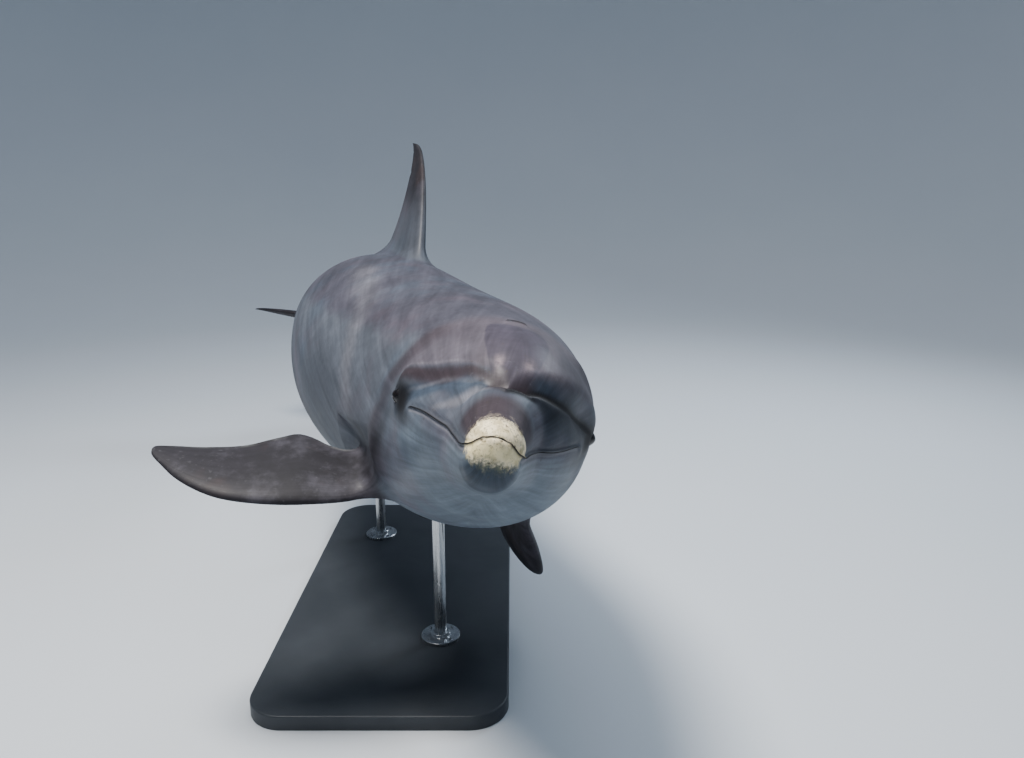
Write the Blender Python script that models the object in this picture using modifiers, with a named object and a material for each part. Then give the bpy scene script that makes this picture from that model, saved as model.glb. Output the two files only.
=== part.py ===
"""Bottlenose dolphin at life size, banking as it swims, held by two rods on a flat base.

The body is lofted straight, along +Y from the beak tip, with +X to its left and +Z up. It is then
bent along its spine, rolled, and set on the stand. It is modelled whole and parted with thin cuts.
Metres throughout, angles in degrees.
"""

import math

import bmesh
import bpy
import numpy as np
from mathutils import Matrix, Vector

COLLECTION = "bottlenose_dolphin"
GAP = 0.0003                      # left between pieces that touch
CUT = 0.0004                      # thickness of the cuts that part the body

# Outlines of the straight body, as (distance behind the beak tip, value). The cranium and the beak
# are two forms that meet in the crease in front of the melon.
BACK_LINE = ((0.105, 0.010), (0.114, 0.050), (0.125, 0.082), (0.145, 0.110), (0.175, 0.136),
             (0.230, 0.162), (0.330, 0.193), (0.550, 0.247), (0.900, 0.268), (1.200, 0.264),
             (1.600, 0.220), (2.000, 0.146), (2.220, 0.104), (2.360, 0.077), (2.412, 0.067))
BELLY_LINE = ((0.100, -0.016), (0.180, -0.050), (0.330, -0.094), (0.550, -0.146), (0.800, -0.181),
              (1.100, -0.194), (1.450, -0.158), (1.900, -0.045), (2.200, 0.020), (2.360, 0.049),
              (2.412, 0.060))
BODY_WIDTH = ((0.100, 0.020), (0.118, 0.044), (0.140, 0.066), (0.180, 0.092), (0.240, 0.118),
              (0.330, 0.143), (0.550, 0.193), (0.850, 0.228), (1.150, 0.234), (1.500, 0.192),
              (1.850, 0.106), (2.150, 0.043), (2.300, 0.027), (2.395, 0.018), (2.412, 0.008))
BACK_FULLNESS = ((0.10, 2.1), (0.30, 2.1), (0.40, 2.25), (0.60, 2.25), (0.90, 1.85), (1.60, 1.8),
                 (2.44, 1.8))
BELLY_FULLNESS = ((0.10, 2.1), (0.40, 2.1), (0.70, 2.0), (1.10, 2.25), (1.60, 2.1), (2.44, 1.8))
BEAK_TOP = ((0.000, 0.021), (0.040, 0.032), (0.080, 0.049), (0.118, 0.070), (0.200, 0.097),
            (0.340, 0.140))
BEAK_BOTTOM = ((0.000, -0.033), (0.030, -0.055), (0.070, -0.062), (0.120, -0.064), (0.200, -0.070),
               (0.340, -0.104))
BEAK_WIDTH = ((0.000, 0.029), (0.040, 0.036), (0.080, 0.043), (0.120, 0.054), (0.200, 0.083),
              (0.340, 0.120))
MIDDLE_LINE = ((0.000, 0.000), (0.005, -0.0058), (0.012, -0.012), (0.022, -0.014), (0.045, -0.013),
               (0.080, -0.007), (0.200, 0.024), (0.285, 0.038), (0.400, 0.040), (1.100, 0.040),
               (1.600, 0.052), (2.440, 0.064))    # the mouth line, as far as its corner
TIP_ROUNDING = 0.030              # length over which the beak closes to its tip
LOWER_JAW_LEAD = 0.008            # the lower jaw reaches this far past the upper one
CREASE = 0.004                    # softness of the crease where melon and beak meet
BEAK_MERGES = (0.300, 0.380)      # where the beak's form has run out into the head's
MELON_SKEW = 0.008                # a toothed whale's forehead leans to its left

BROW = {"place": 0.318, "angle": math.radians(13), "length": 0.048, "spread": math.radians(17),
        "height": 0.009}

# The crease runs on back and down each side of the head as a furrow with a ridge over it. Both are
# paths of (distance, degrees up from the side).
FURROW = ((0.112, 90.0), (0.124, 74.0), (0.142, 56.0), (0.187, 32.0), (0.256, 15.0), (0.298, 8.0))
RIDGE = ((0.118, 90.0), (0.143, 66.0), (0.182, 48.0), (0.257, 29.0), (0.330, 20.0))
FURROW_DEPTH = 0.010
RIDGE_HEIGHT = 0.004

# The spine: yaw swings the tail to the right, and pitch sinks it.
SPINE_YAW = ((0.00, 4.5), (0.30, 4.5), (0.55, 14.3), (0.80, 23.8), (1.20, 20.4), (1.60, 18.8), (2.50, 18.8))
SPINE_PITCH = ((0.00, 21.0), (0.30, 21.0), (0.55, 10.4), (0.80, -2.2), (1.20, -2.2), (1.60, 3.6),
               (2.10, 15.2), (2.50, 9.0))
ROLL = 14.3                       # banks to the left
ANCHOR = 1.05                     # the spine's point that stands over the base's middle
ANCHOR_HEIGHT = 0.55

# Cuts that part the body: rings at these distances, the crease in front of the melon, and the mouth.
RING_CUTS = {"chest": 0.400, "trunk": 0.880, "tail_stock": 1.620}
BEAK_CUT = ((0.112, -0.030), (0.122, 0.100))          # (distance, height) at its lower and upper end
JAW_CORNER = 0.248
JAW_CUT_END = (0.315, -0.200)

EYE = {"place": 0.330, "angle": 4.0, "radius": 0.0135, "sunk": 0.0095}

BASE_SIZE = (0.50, 1.00, 0.030)
BASE_CORNER = 0.075
BASE_EDGE = 0.004
ROD_PLACES = (0.800, 1.360)       # along the spine
ROD_RADIUS = 0.013
PAD_RADIUS = 0.045
PAD_HEIGHT = 0.030
FLANGE_RADIUS = 0.042
FLANGE_HEIGHT = 0.014

# Rows of the loft: as many as this up to each distance. Columns: evenly round, a belly one first.
BODY_ROWS = ((0.030, 4), (0.096, 3), (0.190, 8), (0.370, 6), (0.520, 3), (0.680, 5), (1.060, 4), (1.450, 7),
             (2.190, 8), (2.400, 5), (2.412, 1))
COLUMNS = 32
FILLET_ROWS = 2

# Fins. The patch is the stretch and the angles of the body that the root covers. Droop and sweep aim
# the span, twist turns the chord about it, at the root and at the tip. The edges are chordwise places
# against w, with the span's distance as sin(90 w) of its length, so that the tip is round.
DORSAL_FIN = {
    "patch": (1.06, 1.45, 90, 10), "root": (0.0, 1.075, 0.262), "held": 1.25, "span": 0.276,
    "paired": False,
    "droop": -90, "sweep": 0, "twist": (0, 0), "thickness": 0.140,
    "leading": ((0.0, 0.012), (0.2, 0.068), (0.4, 0.128), (0.6, 0.192), (0.8, 0.256), (0.9, 0.292),
                (1.0, 0.340)),
    "trailing": ((0.0, 0.372), (0.2, 0.322), (0.4, 0.304), (0.6, 0.306), (0.8, 0.328), (0.9, 0.342),
                 (1.0, 0.352)),
    "lift": ((0.0, 0.0), (1.0, 0.0)),
}
FLIPPER_SHAPE = {
    "held": 0.60, "span": 0.380, "thickness": 0.150, "paired": False,
    "leading": ((0.0, 0.026), (0.08, 0.010), (0.22, 0.002), (0.4, 0.008), (0.5, 0.020), (0.6, 0.042),
                (0.7, 0.069), (0.8, 0.098), (0.9, 0.117), (1.0, 0.130)),
    "trailing": ((0.0, 0.128), (0.1, 0.131), (0.15, 0.144), (0.19, 0.162), (0.235, 0.174), (0.3, 0.166),
                 (0.4, 0.148), (0.55, 0.142), (0.75, 0.145), (0.9, 0.144), (1.0, 0.136)),
}
FLIPPER_RIGHT = dict(FLIPPER_SHAPE, patch=(0.52, 0.68, -40, 20), root=(-0.131, 0.532, -0.120),
                     droop=9, sweep=1, twist=(33, 31), lift=((0.0, 0.0), (1.0, 0.0)))
FLIPPER_LEFT = dict(FLIPPER_SHAPE, patch=(0.52, 0.68, -40, 20), root=(0.124, 0.548, -0.114),
                    droop=52, sweep=38, twist=(2, -12), lift=((0.0, 0.0), (0.5, 0.012), (1.0, 0.034)))
FLUKE = {
    "patch": (2.19, 2.40, 0, 30), "held": 2.35, "span": 0.288, "root": (0.010, 2.19, 0.063), "paired": True,
    "droop": 0, "sweep": 0, "twist": (0, 0), "thickness": 0.110,
    "leading": ((0.0, 0.000), (0.2, 0.050), (0.4, 0.110), (0.6, 0.178), (0.8, 0.248), (1.0, 0.330)),
    "trailing": ((0.0, 0.255), (0.1, 0.280), (0.25, 0.302), (0.45, 0.300), (0.65, 0.294), (0.85, 0.306),
                 (1.0, 0.335)),
    "lift": ((0.0, 0.0), (1.0, 0.0)),
}

# Where each fin is parted from the body: the fin, its side, and the span parameter of the cut.
FIN_CUTS = {
    "dorsal_fin": (DORSAL_FIN, 1, 0.12),
    "flipper_right": (FLIPPER_RIGHT, -1, 0.15),
    "flipper_left": (FLIPPER_LEFT, 1, 0.15),
    "fluke_right": (FLUKE, -1, 0.16),
    "fluke_left": (FLUKE, 1, 0.16),
}
# A point in the middle of each other piece of the straight body.
PIECE_PLACES = {
    "rostrum": (0.0, 0.060, 0.010), "lower_jaw": (0.0, 0.100, -0.035), "head": (0.0, 0.260, 0.070),
    "chest": (0.0, 0.600, 0.030), "trunk": (0.0, 1.250, 0.040), "tail_stock": (0.0, 2.050, 0.060),
}
# Colour and roughness of the pieces' skin.
SKIN = {
    "trunk": ((0.17, 0.20, 0.24), 0.35), "head": ((0.17, 0.19, 0.23), 0.35),
    "chest": ((0.20, 0.23, 0.27), 0.35), "tail_stock": ((0.16, 0.19, 0.23), 0.35),
    "rostrum": ((0.30, 0.27, 0.24), 0.45),
    "lower_jaw": ((0.42, 0.42, 0.40), 0.40), "dorsal_fin": ((0.08, 0.11, 0.15), 0.35),
    "flipper_right": ((0.09, 0.10, 0.13), 0.35), "flipper_left": ((0.09, 0.10, 0.13), 0.35),
    "fluke_right": ((0.08, 0.10, 0.13), 0.35), "fluke_left": ((0.08, 0.10, 0.13), 0.35),
}


def curve(stations, at):
    """Smooth curve through a few (place, value) stations, run on straight past both ends."""
    place, value = np.array(stations, float).T
    step = np.diff(place)
    slope = np.diff(value) / step
    tangent = np.concatenate(([slope[0]], (slope[:-1] * step[1:] + slope[1:] * step[:-1])
                              / (step[1:] + step[:-1]), [slope[-1]]))
    at = np.asarray(at, float)
    i = np.clip(np.searchsorted(place, at) - 1, 0, len(place) - 2)
    past = np.where(at < place[0], at - place[0], np.where(at > place[-1], at - place[-1], 0.0))
    u = np.clip((at - place[i]) / step[i], 0.0, 1.0)
    bend = step[i] * u * (1 - u) * (tangent[i] * (1 - u) - tangent[i + 1] * u)
    beyond = past * tangent[np.where(u < 0.5, i, i + 1)]
    return value[i] + (value[i + 1] - value[i]) * u * u * (3 - 2 * u) + bend + beyond


def ramp(start, end, at):
    """Goes smoothly from 0 at start to 1 at end."""
    u = np.clip((np.asarray(at, float) - start) / (end - start), 0.0, 1.0)
    return u * u * (3 - 2 * u)


def oval(width, top, bottom, angle, power):
    """Radius, at an angle, of a section with this half width and these heights over and under its middle."""
    height = np.where(np.sin(angle) > 0, top, bottom)
    across, upward = np.abs(np.cos(angle)) / width, np.abs(np.sin(angle)) / height
    return (across ** power + upward ** power) ** (-1 / power)


def stroke(s, beside, path, width, height):
    """Height of a long soft stroke, some degrees wide, that fades out at both ends of its path."""
    off = (np.degrees(beside) - curve(path, s)) / width
    start, end = path[0][0], path[-1][0]
    ends = ramp(start - 0.004, start + 0.012, s) * (1 - ramp(end - 0.050, end + 0.020, s))
    return height * np.exp(-off ** 2) * ends


def body_surface(s, angle):
    """Points of the straight body at distances s from the beak tip and angles up from its left side."""
    s, angle = np.broadcast_arrays(np.asarray(s, float), np.asarray(angle, float))
    middle = curve(MIDDLE_LINE, s)
    beak = oval(curve(BEAK_WIDTH, s), curve(BEAK_TOP, s) - middle, middle - curve(BEAK_BOTTOM, s),
                angle, 2.2)
    beak = beak * np.sqrt(1 - (1 - np.clip(s / TIP_ROUNDING, 0, 1)) ** 2)
    power = np.where(np.sin(angle) > 0, curve(BACK_FULLNESS, s), curve(BELLY_FULLNESS, s))
    trunk = oval(np.maximum(curve(BODY_WIDTH, s), 0.001), np.maximum(curve(BACK_LINE, s) - middle, 0.001),
                 np.maximum(middle - curve(BELLY_LINE, s), 0.001), angle, power)
    joined = 0.5 * (beak + trunk + np.sqrt((beak - trunk) ** 2 + CREASE ** 2))
    radius = beak + (joined - beak) * ramp(0.085, 0.105, s)
    radius = radius + (trunk - radius) * ramp(*BEAK_MERGES, s)
    beside = np.arcsin(np.sin(angle))
    off_along, off_around = (s - BROW["place"]) / BROW["length"], (beside - BROW["angle"]) / BROW["spread"]
    radius = radius + BROW["height"] * np.exp(-off_along ** 2 - off_around ** 2)
    radius = radius + stroke(s, beside, FURROW, 9.0, -FURROW_DEPTH)
    radius = radius + stroke(s, beside, RIDGE, 10.0, RIDGE_HEIGHT)
    upper = 0.5 + 0.5 * np.tanh(np.sin(angle) / 0.05)
    lean = MELON_SKEW * ramp(0.10, 0.14, s) * (1 - ramp(0.18, 0.36, s)) * ramp(0.0, 0.8, np.sin(angle))
    x = radius * np.cos(angle) + lean
    y = s + LOWER_JAW_LEAD * upper * (1 - ramp(0.0, 0.07, s))
    return np.stack([x, y, middle + radius * np.sin(angle)], -1)


class Spine:
    """Carries points of the straight body to the bent and rolled one."""
    STEP = 0.005

    def __init__(self):
        s = np.arange(0.0, 2.7, self.STEP)
        yaw = np.radians(curve(SPINE_YAW, s))
        pitch = np.radians(curve(SPINE_PITCH, s))
        back = np.stack([-np.sin(yaw) * np.cos(pitch), np.cos(yaw) * np.cos(pitch), -np.sin(pitch)], -1)
        left = np.stack([np.cos(yaw), np.sin(yaw), 0 * yaw], -1)
        up = np.cross(left, back)
        roll = math.radians(ROLL)
        self.left = left * math.cos(roll) - up * math.sin(roll)
        self.up = up * math.cos(roll) + left * math.sin(roll)
        self.back = back
        path = np.concatenate([[[0, 0, 0]], np.cumsum((back[1:] + back[:-1]) * self.STEP / 2, axis=0)])
        anchor = int(round(ANCHOR / self.STEP))
        self.path = path - path[anchor] + (0.0, 0.0, ANCHOR_HEIGHT)

    def frame(self, s):
        """Spine point and the left, back and up directions at s."""
        f = np.clip(np.asarray(s, float) / self.STEP, 0, len(self.path) - 1.001)
        i = f.astype(int)
        w = (f - i)[..., None]
        return [a[i] * (1 - w) + a[i + 1] * w for a in (self.path, self.left, self.back, self.up)]

    def pose(self, points, rigid_at=None):
        """Bends points with the spine, or moves them rigidly with its frame at one place."""
        points = np.asarray(points, float)
        s = points[..., 1] if rigid_at is None else np.full(points.shape[:-1], float(rigid_at))
        held = np.clip(s, 0.0, 2.6)
        path, left, back, up = self.frame(held)
        past_end = (points[..., 1] - held)[..., None]
        return path + points[..., :1] * left + points[..., 2:] * up + past_end * back


def body_rows(counts=BODY_ROWS):
    """Distances of the loft's rows, close together at the tip, where the beak closes."""
    first_end, first_count = counts[0]
    rows = [first_end * (k / first_count) ** 2 for k in range(1, first_count)] + [first_end]
    for end, count in counts[1:]:
        start = rows[-1]
        rows += [start + (end - start) * (k + 1) / count for k in range(count)]
    return np.array(rows)


def fin_frame(fin, side, w):
    """Leading point, chord and face directions, and chord length of a fin's section at span parameter w."""
    droop, sweep = math.radians(fin["droop"]), math.radians(fin["sweep"])
    out = np.array([side * math.cos(sweep) * math.cos(droop), math.sin(sweep),
                    -math.cos(sweep) * math.sin(droop)])
    flat = np.array([0.0, 1.0, 0.0]) - out * out[1] * float(ramp(0.0, 0.5, w))
    flat /= np.linalg.norm(flat)
    face = np.cross(out, flat) * side
    face /= np.linalg.norm(face)
    twist = math.radians(fin["twist"][0] + (fin["twist"][1] - fin["twist"][0]) * float(ramp(0.0, 0.5, w)))
    chord = flat * math.cos(twist) + face * math.sin(twist)
    face = face * math.cos(twist) - flat * math.sin(twist)
    lead, trail = float(curve(fin["leading"], w)), float(curve(fin["trailing"], w))
    root = np.array(fin["root"]) * (side if fin["paired"] else 1, 1, 1)
    start = root + out * fin["span"] * math.sin(w * math.pi / 2) + face * float(curve(fin["lift"], w))
    return start + chord * lead, chord, face, max(trail - lead, 0.0)


def fin_section(fin, side, w, turn):
    """Ring of a fin at span parameter w, at angles turn round its foil from the leading edge."""
    start, chord, face, width = fin_frame(fin, side, w)
    x = 0.5 * (1 - np.cos(turn))
    foil = 5 * (0.2969 * np.sqrt(x) - 0.126 * x - 0.3516 * x ** 2 + 0.2843 * x ** 3 - 0.1036 * x ** 4)
    half = (fin["thickness"] * width * foil + 0.0006 * np.abs(np.sin(turn))) * np.sign(np.sin(turn))
    return start + np.outer(width * x, chord) + np.outer(half, face)


def patch_loop(rows, columns, patch, side):
    """Grid places (row, column) round the edge of a fin's patch, and the ranges inside it."""
    start, end, centre, spread = patch
    first, last = int(np.argmin(abs(rows - start))), int(np.argmin(abs(rows - end)))
    middle, half = int(round((centre + 90) * columns / 360)), int(round(spread * columns / 360))
    low, high = middle - half, middle + half
    up = [(first, c) for c in range(middle, high)]
    over = [(r, high) for r in range(first, last)]
    down = [(last, c) for c in range(high, low, -1)]
    under = [(r, low) for r in range(last, first, -1)]
    rest = [(first, c) for c in range(low, middle)]
    loop = up + over + down + under + rest
    if side < 0:
        loop = [(r, columns - c) for r, c in loop]
        low, high = columns - high, columns - low
    return loop, (first, last, low, high)


def whole_body(spine, row_counts=BODY_ROWS, columns=COLUMNS, fillet=FILLET_ROWS, sections=(8, 9, 9, 8, 8)):
    """Vertices and faces of the whole skin, as one closed mesh with its fins grown out of it."""
    rows = body_rows(row_counts)
    angles = np.radians(np.arange(columns) * 360 / columns - 90)
    grid = body_surface(rows[:, None], angles[None, :])
    verts = [spine.pose(grid).reshape(-1, 3)]
    index = np.arange(len(rows) * columns).reshape(len(rows), columns)
    kept = np.ones((len(rows) - 1, columns), bool)
    faces = []
    count = index.size
    fins = ((DORSAL_FIN, 1), (FLIPPER_RIGHT, -1), (FLIPPER_LEFT, 1), (FLUKE, -1), (FLUKE, 1))
    for (fin, side), steps in zip(fins, sections):
        loop, (first, last, low, high) = patch_loop(rows, columns, fin["patch"], side)
        for c in range(low, high):
            kept[first:last, c % columns] = False
        edge = np.array([grid[r, c % columns] for r, c in loop])
        previous = [int(index[r, c % columns]) for r, c in loop]
        size = len(loop)
        start = fin.get("start", 0.10)
        turn = 2 * math.pi * np.arange(size) / size
        ring = fin_section(fin, side, start, turn)
        foot = fin_section(fin, side, 0.0, turn)
        if fin["paired"]:
            foot[:, 0] = side * np.maximum(abs(foot[:, 0]), curve(BODY_WIDTH, foot[:, 1]))
        shifts = [np.sum((np.roll(ring, k, axis=0) - edge) ** 2) for k in range(size)]
        shift = int(np.argmin(shifts))
        posed_edge = spine.pose(edge)
        posed_ring = spine.pose(np.roll(ring, shift, axis=0), fin["held"])
        posed_foot = spine.pose(np.roll(foot, shift, axis=0), fin["held"])
        rings = []
        for k in range(1, fillet + 1):
            u = k / (fillet + 1)
            rings.append((1 - u) ** 2 * posed_edge + 2 * u * (1 - u) * posed_foot + u * u * posed_ring)
        for k in range(steps + 1):
            w = start + (0.985 - start) * k / steps
            rings.append(spine.pose(np.roll(fin_section(fin, side, w, turn), shift, axis=0), fin["held"]))
        tip = spine.pose(fin_section(fin, side, 1.0, turn), fin["held"]).mean(axis=0)
        for ring in rings:
            verts.append(ring)
            current = list(range(count, count + size))
            count += size
            for k in range(size):
                n = (k + 1) % size
                faces.append((previous[k], previous[n], current[n], current[k]))
            previous = current
        verts.append(tip[None])
        faces += [(previous[k], previous[(k + 1) % size], count) for k in range(size)]
        count += 1
    for r in range(len(rows) - 1):
        for c in range(columns):
            if kept[r, c]:
                n = (c + 1) % columns
                corners = (index[r, c], index[r, n], index[r + 1, n], index[r + 1, c])
                faces.append(tuple(int(v) for v in corners))
    ends = spine.pose(np.array([[0.0, LOWER_JAW_LEAD / 2, 0.0],
                                [0.0, rows[-1] + 0.008, float(curve(MIDDLE_LINE, rows[-1]))]]))
    verts.append(ends)
    for c in range(columns):
        n = (c + 1) % columns
        faces.append((count, int(index[0, n]), int(index[0, c])))
        faces.append((count + 1, int(index[-1, c]), int(index[-1, n])))
    return np.concatenate(verts), faces


def new_object(name, vertices, faces, collection):
    """Mesh object with its faces pointing out."""
    mesh = bpy.data.meshes.new(name)
    mesh.from_pydata([tuple(map(float, v)) for v in vertices], [], faces)
    work = bmesh.new()
    work.from_mesh(mesh)
    bmesh.ops.triangulate(work, faces=[f for f in work.faces if len(f.verts) > 3])
    bmesh.ops.recalc_face_normals(work, faces=work.faces)
    work.to_mesh(mesh)
    work.free()
    item = bpy.data.objects.new(name, mesh)
    collection.objects.link(item)
    return item


def material(name, color, roughness, metallic=0.0):
    """Principled material of one colour, made once."""
    found = bpy.data.materials.get(name)
    if found:
        return found
    made = bpy.data.materials.new(name)
    made.use_nodes = True
    shader = made.node_tree.nodes["Principled BSDF"]
    shader.inputs["Base Color"].default_value = (*color, 1.0)
    shader.inputs["Roughness"].default_value = roughness
    shader.inputs["Metallic"].default_value = metallic
    return made


def apply_modifiers(item):
    """Bakes an object's modifiers into its mesh."""
    graph = bpy.context.evaluated_depsgraph_get()
    baked = bpy.data.meshes.new_from_object(item.evaluated_get(graph))
    item.modifiers.clear()
    item.data = baked


def cut(item, cutter):
    """Takes a cutter away from an object."""
    boolean = item.modifiers.new("cut", "BOOLEAN")
    boolean.operation = "DIFFERENCE"
    boolean.solver = "EXACT"
    boolean.object = cutter
    apply_modifiers(item)


def as_cutter(item):
    """Keeps a cutter out of the model."""
    item.hide_render = True
    item.display_type = "WIRE"
    return item


def slab(name, centre, axes, halves, collection):
    """Box cutter with half sizes along three world directions."""
    mesh = bpy.data.meshes.new(name)
    work = bmesh.new()
    bmesh.ops.create_cube(work, size=2.0)
    frame = Matrix([[axes[c][r] for c in range(3)] for r in range(3)]).to_4x4()
    place = Matrix.Translation(centre) @ frame @ Matrix.Diagonal((*halves, 1))
    bmesh.ops.transform(work, verts=work.verts, matrix=place)
    bmesh.ops.recalc_face_normals(work, faces=work.faces)
    work.to_mesh(mesh)
    work.free()
    item = bpy.data.objects.new(name, mesh)
    collection.objects.link(item)
    return as_cutter(item)


def sheet(name, path, half_width, spine, collection):
    """Thin cutter that follows a path of (distance, height) and runs across the body."""
    path = np.array(path)
    along = np.gradient(path, axis=0)
    normal = np.stack([-along[:, 1], along[:, 0]], -1) / np.linalg.norm(along, axis=1)[:, None]
    outline = np.concatenate([path + normal * CUT / 2, (path - normal * CUT / 2)[::-1]])
    points = [[x, s, z] for x in (-half_width, half_width) for s, z in outline]
    size = len(outline)
    faces = [tuple(range(size)), tuple(range(2 * size - 1, size - 1, -1))]
    faces += [(k, (k + 1) % size, size + (k + 1) % size, size + k) for k in range(size)]
    return as_cutter(new_object(name, spine.pose(points), faces, collection))


def mouth_cut(spine, collection):
    """Sheet along the mouth to its corner, then down behind the jaw."""
    s = np.linspace(-0.02, JAW_CORNER, 24)
    path = [(float(a), float(curve(MIDDLE_LINE, max(a, 0.0)))) for a in s]
    corner = path[-1]
    bend = [(corner[0] + 0.012, corner[1] - 0.004), (corner[0] + 0.020, corner[1] - 0.016)]
    return sheet("mouth_cut", path + bend + [JAW_CUT_END], 0.17, spine, collection)


def fin_slab(name, fin, side, w, spine, collection):
    """Slab across a fin's root."""
    start, chord, face, width = fin_frame(fin, side, w)
    middle = start + chord * width / 2
    ends = spine.pose(np.array([middle, middle + chord, middle + face]), fin["held"])
    across, through = ends[1] - ends[0], ends[2] - ends[0]
    halves = (width / 2 + 0.03, fin["thickness"] * width / 2 + 0.03, CUT / 2)
    return slab(name, ends[0], (across, through, np.cross(across, through)), halves, collection)


def ball(name, centre, radius, collection, segments=16):
    """Plain ball."""
    mesh = bpy.data.meshes.new(name)
    work = bmesh.new()
    bmesh.ops.create_uvsphere(work, u_segments=segments, v_segments=segments // 2, radius=radius)
    bmesh.ops.translate(work, verts=work.verts, vec=centre)
    work.to_mesh(mesh)
    work.free()
    item = bpy.data.objects.new(name, mesh)
    collection.objects.link(item)
    return item


def eye_centre(side, spine):
    """Middle of an eyeball, sunk under the skin beside the head."""
    angle = math.radians(EYE["angle"] if side > 0 else 180 - EYE["angle"])
    point = body_surface(EYE["place"], angle)
    point[0] -= side * EYE["sunk"]
    return spine.pose(point)


def beak_slab(spine, collection):
    """Slab in the crease in front of the melon, down to the mouth."""
    low, high = np.array(BEAK_CUT[0]), np.array(BEAK_CUT[1])
    foot = np.array([low[0], float(curve(MIDDLE_LINE, low[0]))])
    ends = spine.pose([[0.0, foot[0], foot[1]], [0.0, high[0], high[1]], [1.0, foot[0], foot[1]]])
    up = ends[1] - ends[0]
    half = np.linalg.norm(up) / 2
    up = up / np.linalg.norm(up)
    left = ends[2] - ends[0]
    directions = (left, np.cross(up, left), up)
    return slab("beak_cut", (ends[0] + ends[1]) / 2, directions, (0.12, CUT / 2, half), collection)


def name_pieces(body, spine):
    """Separates the parted skin and names each piece by the place it is nearest to."""
    bpy.ops.object.select_all(action="DESELECT")
    body.select_set(True)
    bpy.context.view_layer.objects.active = body
    bpy.ops.mesh.separate(type="LOOSE")
    places = {}
    for name, place in PIECE_PLACES.items():
        places[name] = spine.pose(np.array(place))
    for name, (fin, side, _) in FIN_CUTS.items():
        start, chord, _, width = fin_frame(fin, side, 0.35)
        places[name] = spine.pose(start + chord * width / 2, fin["held"])
    for piece in list(bpy.context.selected_objects):
        middle = np.mean([v.co for v in piece.data.vertices], axis=0)
        name = min(places, key=lambda n: np.linalg.norm(places[n] - middle))
        piece.name = name
        piece.data.name = name
        color, roughness = SKIN.get(name, SKIN["trunk"])
        piece.data.materials.clear()
        piece.data.materials.append(material(f"skin_{name}", color, roughness))
        piece.data.shade_smooth()


def build_body(spine, model, cutters):
    """The animal as one closed skin, parted into named pieces by thin cuts."""
    body = new_object("body", *whole_body(spine), model)
    cut(body, mouth_cut(spine, cutters))
    cut(body, beak_slab(spine, cutters))
    for side in (-1, 1):
        socket = ball(f"socket_{side}", eye_centre(side, spine), EYE["radius"] + GAP, cutters)
        cut(body, as_cutter(socket))
    for name, place in RING_CUTS.items():
        path, left, back, up = spine.frame(place)
        half = 0.28 if place > JAW_CORNER else 0.16
        cut(body, slab(f"cut_{name}", path, (left, back, up), (half, CUT / 2, half), cutters))
    for name, (fin, side, w) in FIN_CUTS.items():
        cut(body, fin_slab(f"cut_{name}", fin, side, w, spine, cutters))
    name_pieces(body, spine)


def build_eyes(spine, model):
    for name, side in (("eye_right", -1), ("eye_left", 1)):
        eye = ball(name, eye_centre(side, spine), EYE["radius"], model)
        eye.data.shade_smooth()
        eye.data.materials.append(material("eye", (0.03, 0.02, 0.015), 0.08))


def rounded_box(name, size, corner, edge, collection):
    """Plate standing on z = 0, with round corners and softened edges."""
    mesh = bpy.data.meshes.new(name)
    work = bmesh.new()
    bmesh.ops.create_cube(work, size=1.0)
    bmesh.ops.scale(work, verts=work.verts, vec=size)
    bmesh.ops.translate(work, verts=work.verts, vec=(0, 0, size[2] / 2))
    upright = [e for e in work.edges if abs(e.verts[0].co.z - e.verts[1].co.z) > size[2] / 2]
    bmesh.ops.bevel(work, geom=upright, offset=corner, segments=5, profile=0.5, affect="EDGES")
    top = [e for e in work.edges if min(v.co.z for v in e.verts) > size[2] - 1e-5 and len(e.link_faces) == 2
           and any(abs(f.normal.z) < 0.5 for f in e.link_faces)]
    bmesh.ops.bevel(work, geom=top, offset=edge, segments=2, profile=0.5, affect="EDGES")
    bmesh.ops.recalc_face_normals(work, faces=work.faces)
    work.to_mesh(mesh)
    work.free()
    item = bpy.data.objects.new(name, mesh)
    collection.objects.link(item)
    return item


def cylinder(name, place, bottom, top, radius, segments, collection):
    """Upright round bar."""
    mesh = bpy.data.meshes.new(name)
    work = bmesh.new()
    bmesh.ops.create_cone(work, cap_ends=True, segments=segments, radius1=radius, radius2=radius,
                          depth=top - bottom)
    bmesh.ops.translate(work, verts=work.verts, vec=(place[0], place[1], (top + bottom) / 2))
    work.to_mesh(mesh)
    work.free()
    item = bpy.data.objects.new(name, mesh)
    collection.objects.link(item)
    return item


def flange(name, place, bottom, collection):
    """Turned ring where a rod stands on the base."""
    bore = ROD_RADIUS + GAP
    profile = ((bore, FLANGE_HEIGHT), (bore + 0.006, FLANGE_HEIGHT), (FLANGE_RADIUS, 0.005),
               (FLANGE_RADIUS, 0.0), (bore, 0.0))
    mesh = bpy.data.meshes.new(name)
    work = bmesh.new()
    ring = [work.verts.new((r, 0.0, z)) for r, z in profile]
    for k, vert in enumerate(ring):
        work.edges.new((vert, ring[(k + 1) % len(ring)]))
    work.to_mesh(mesh)
    work.free()
    item = bpy.data.objects.new(name, mesh)
    collection.objects.link(item)
    screw = item.modifiers.new("turn", "SCREW")
    screw.steps = screw.render_steps = 24
    screw.use_merge_vertices = True
    screw.merge_threshold = 0.00001
    item.location = (place[0], place[1], bottom)
    return item


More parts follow.
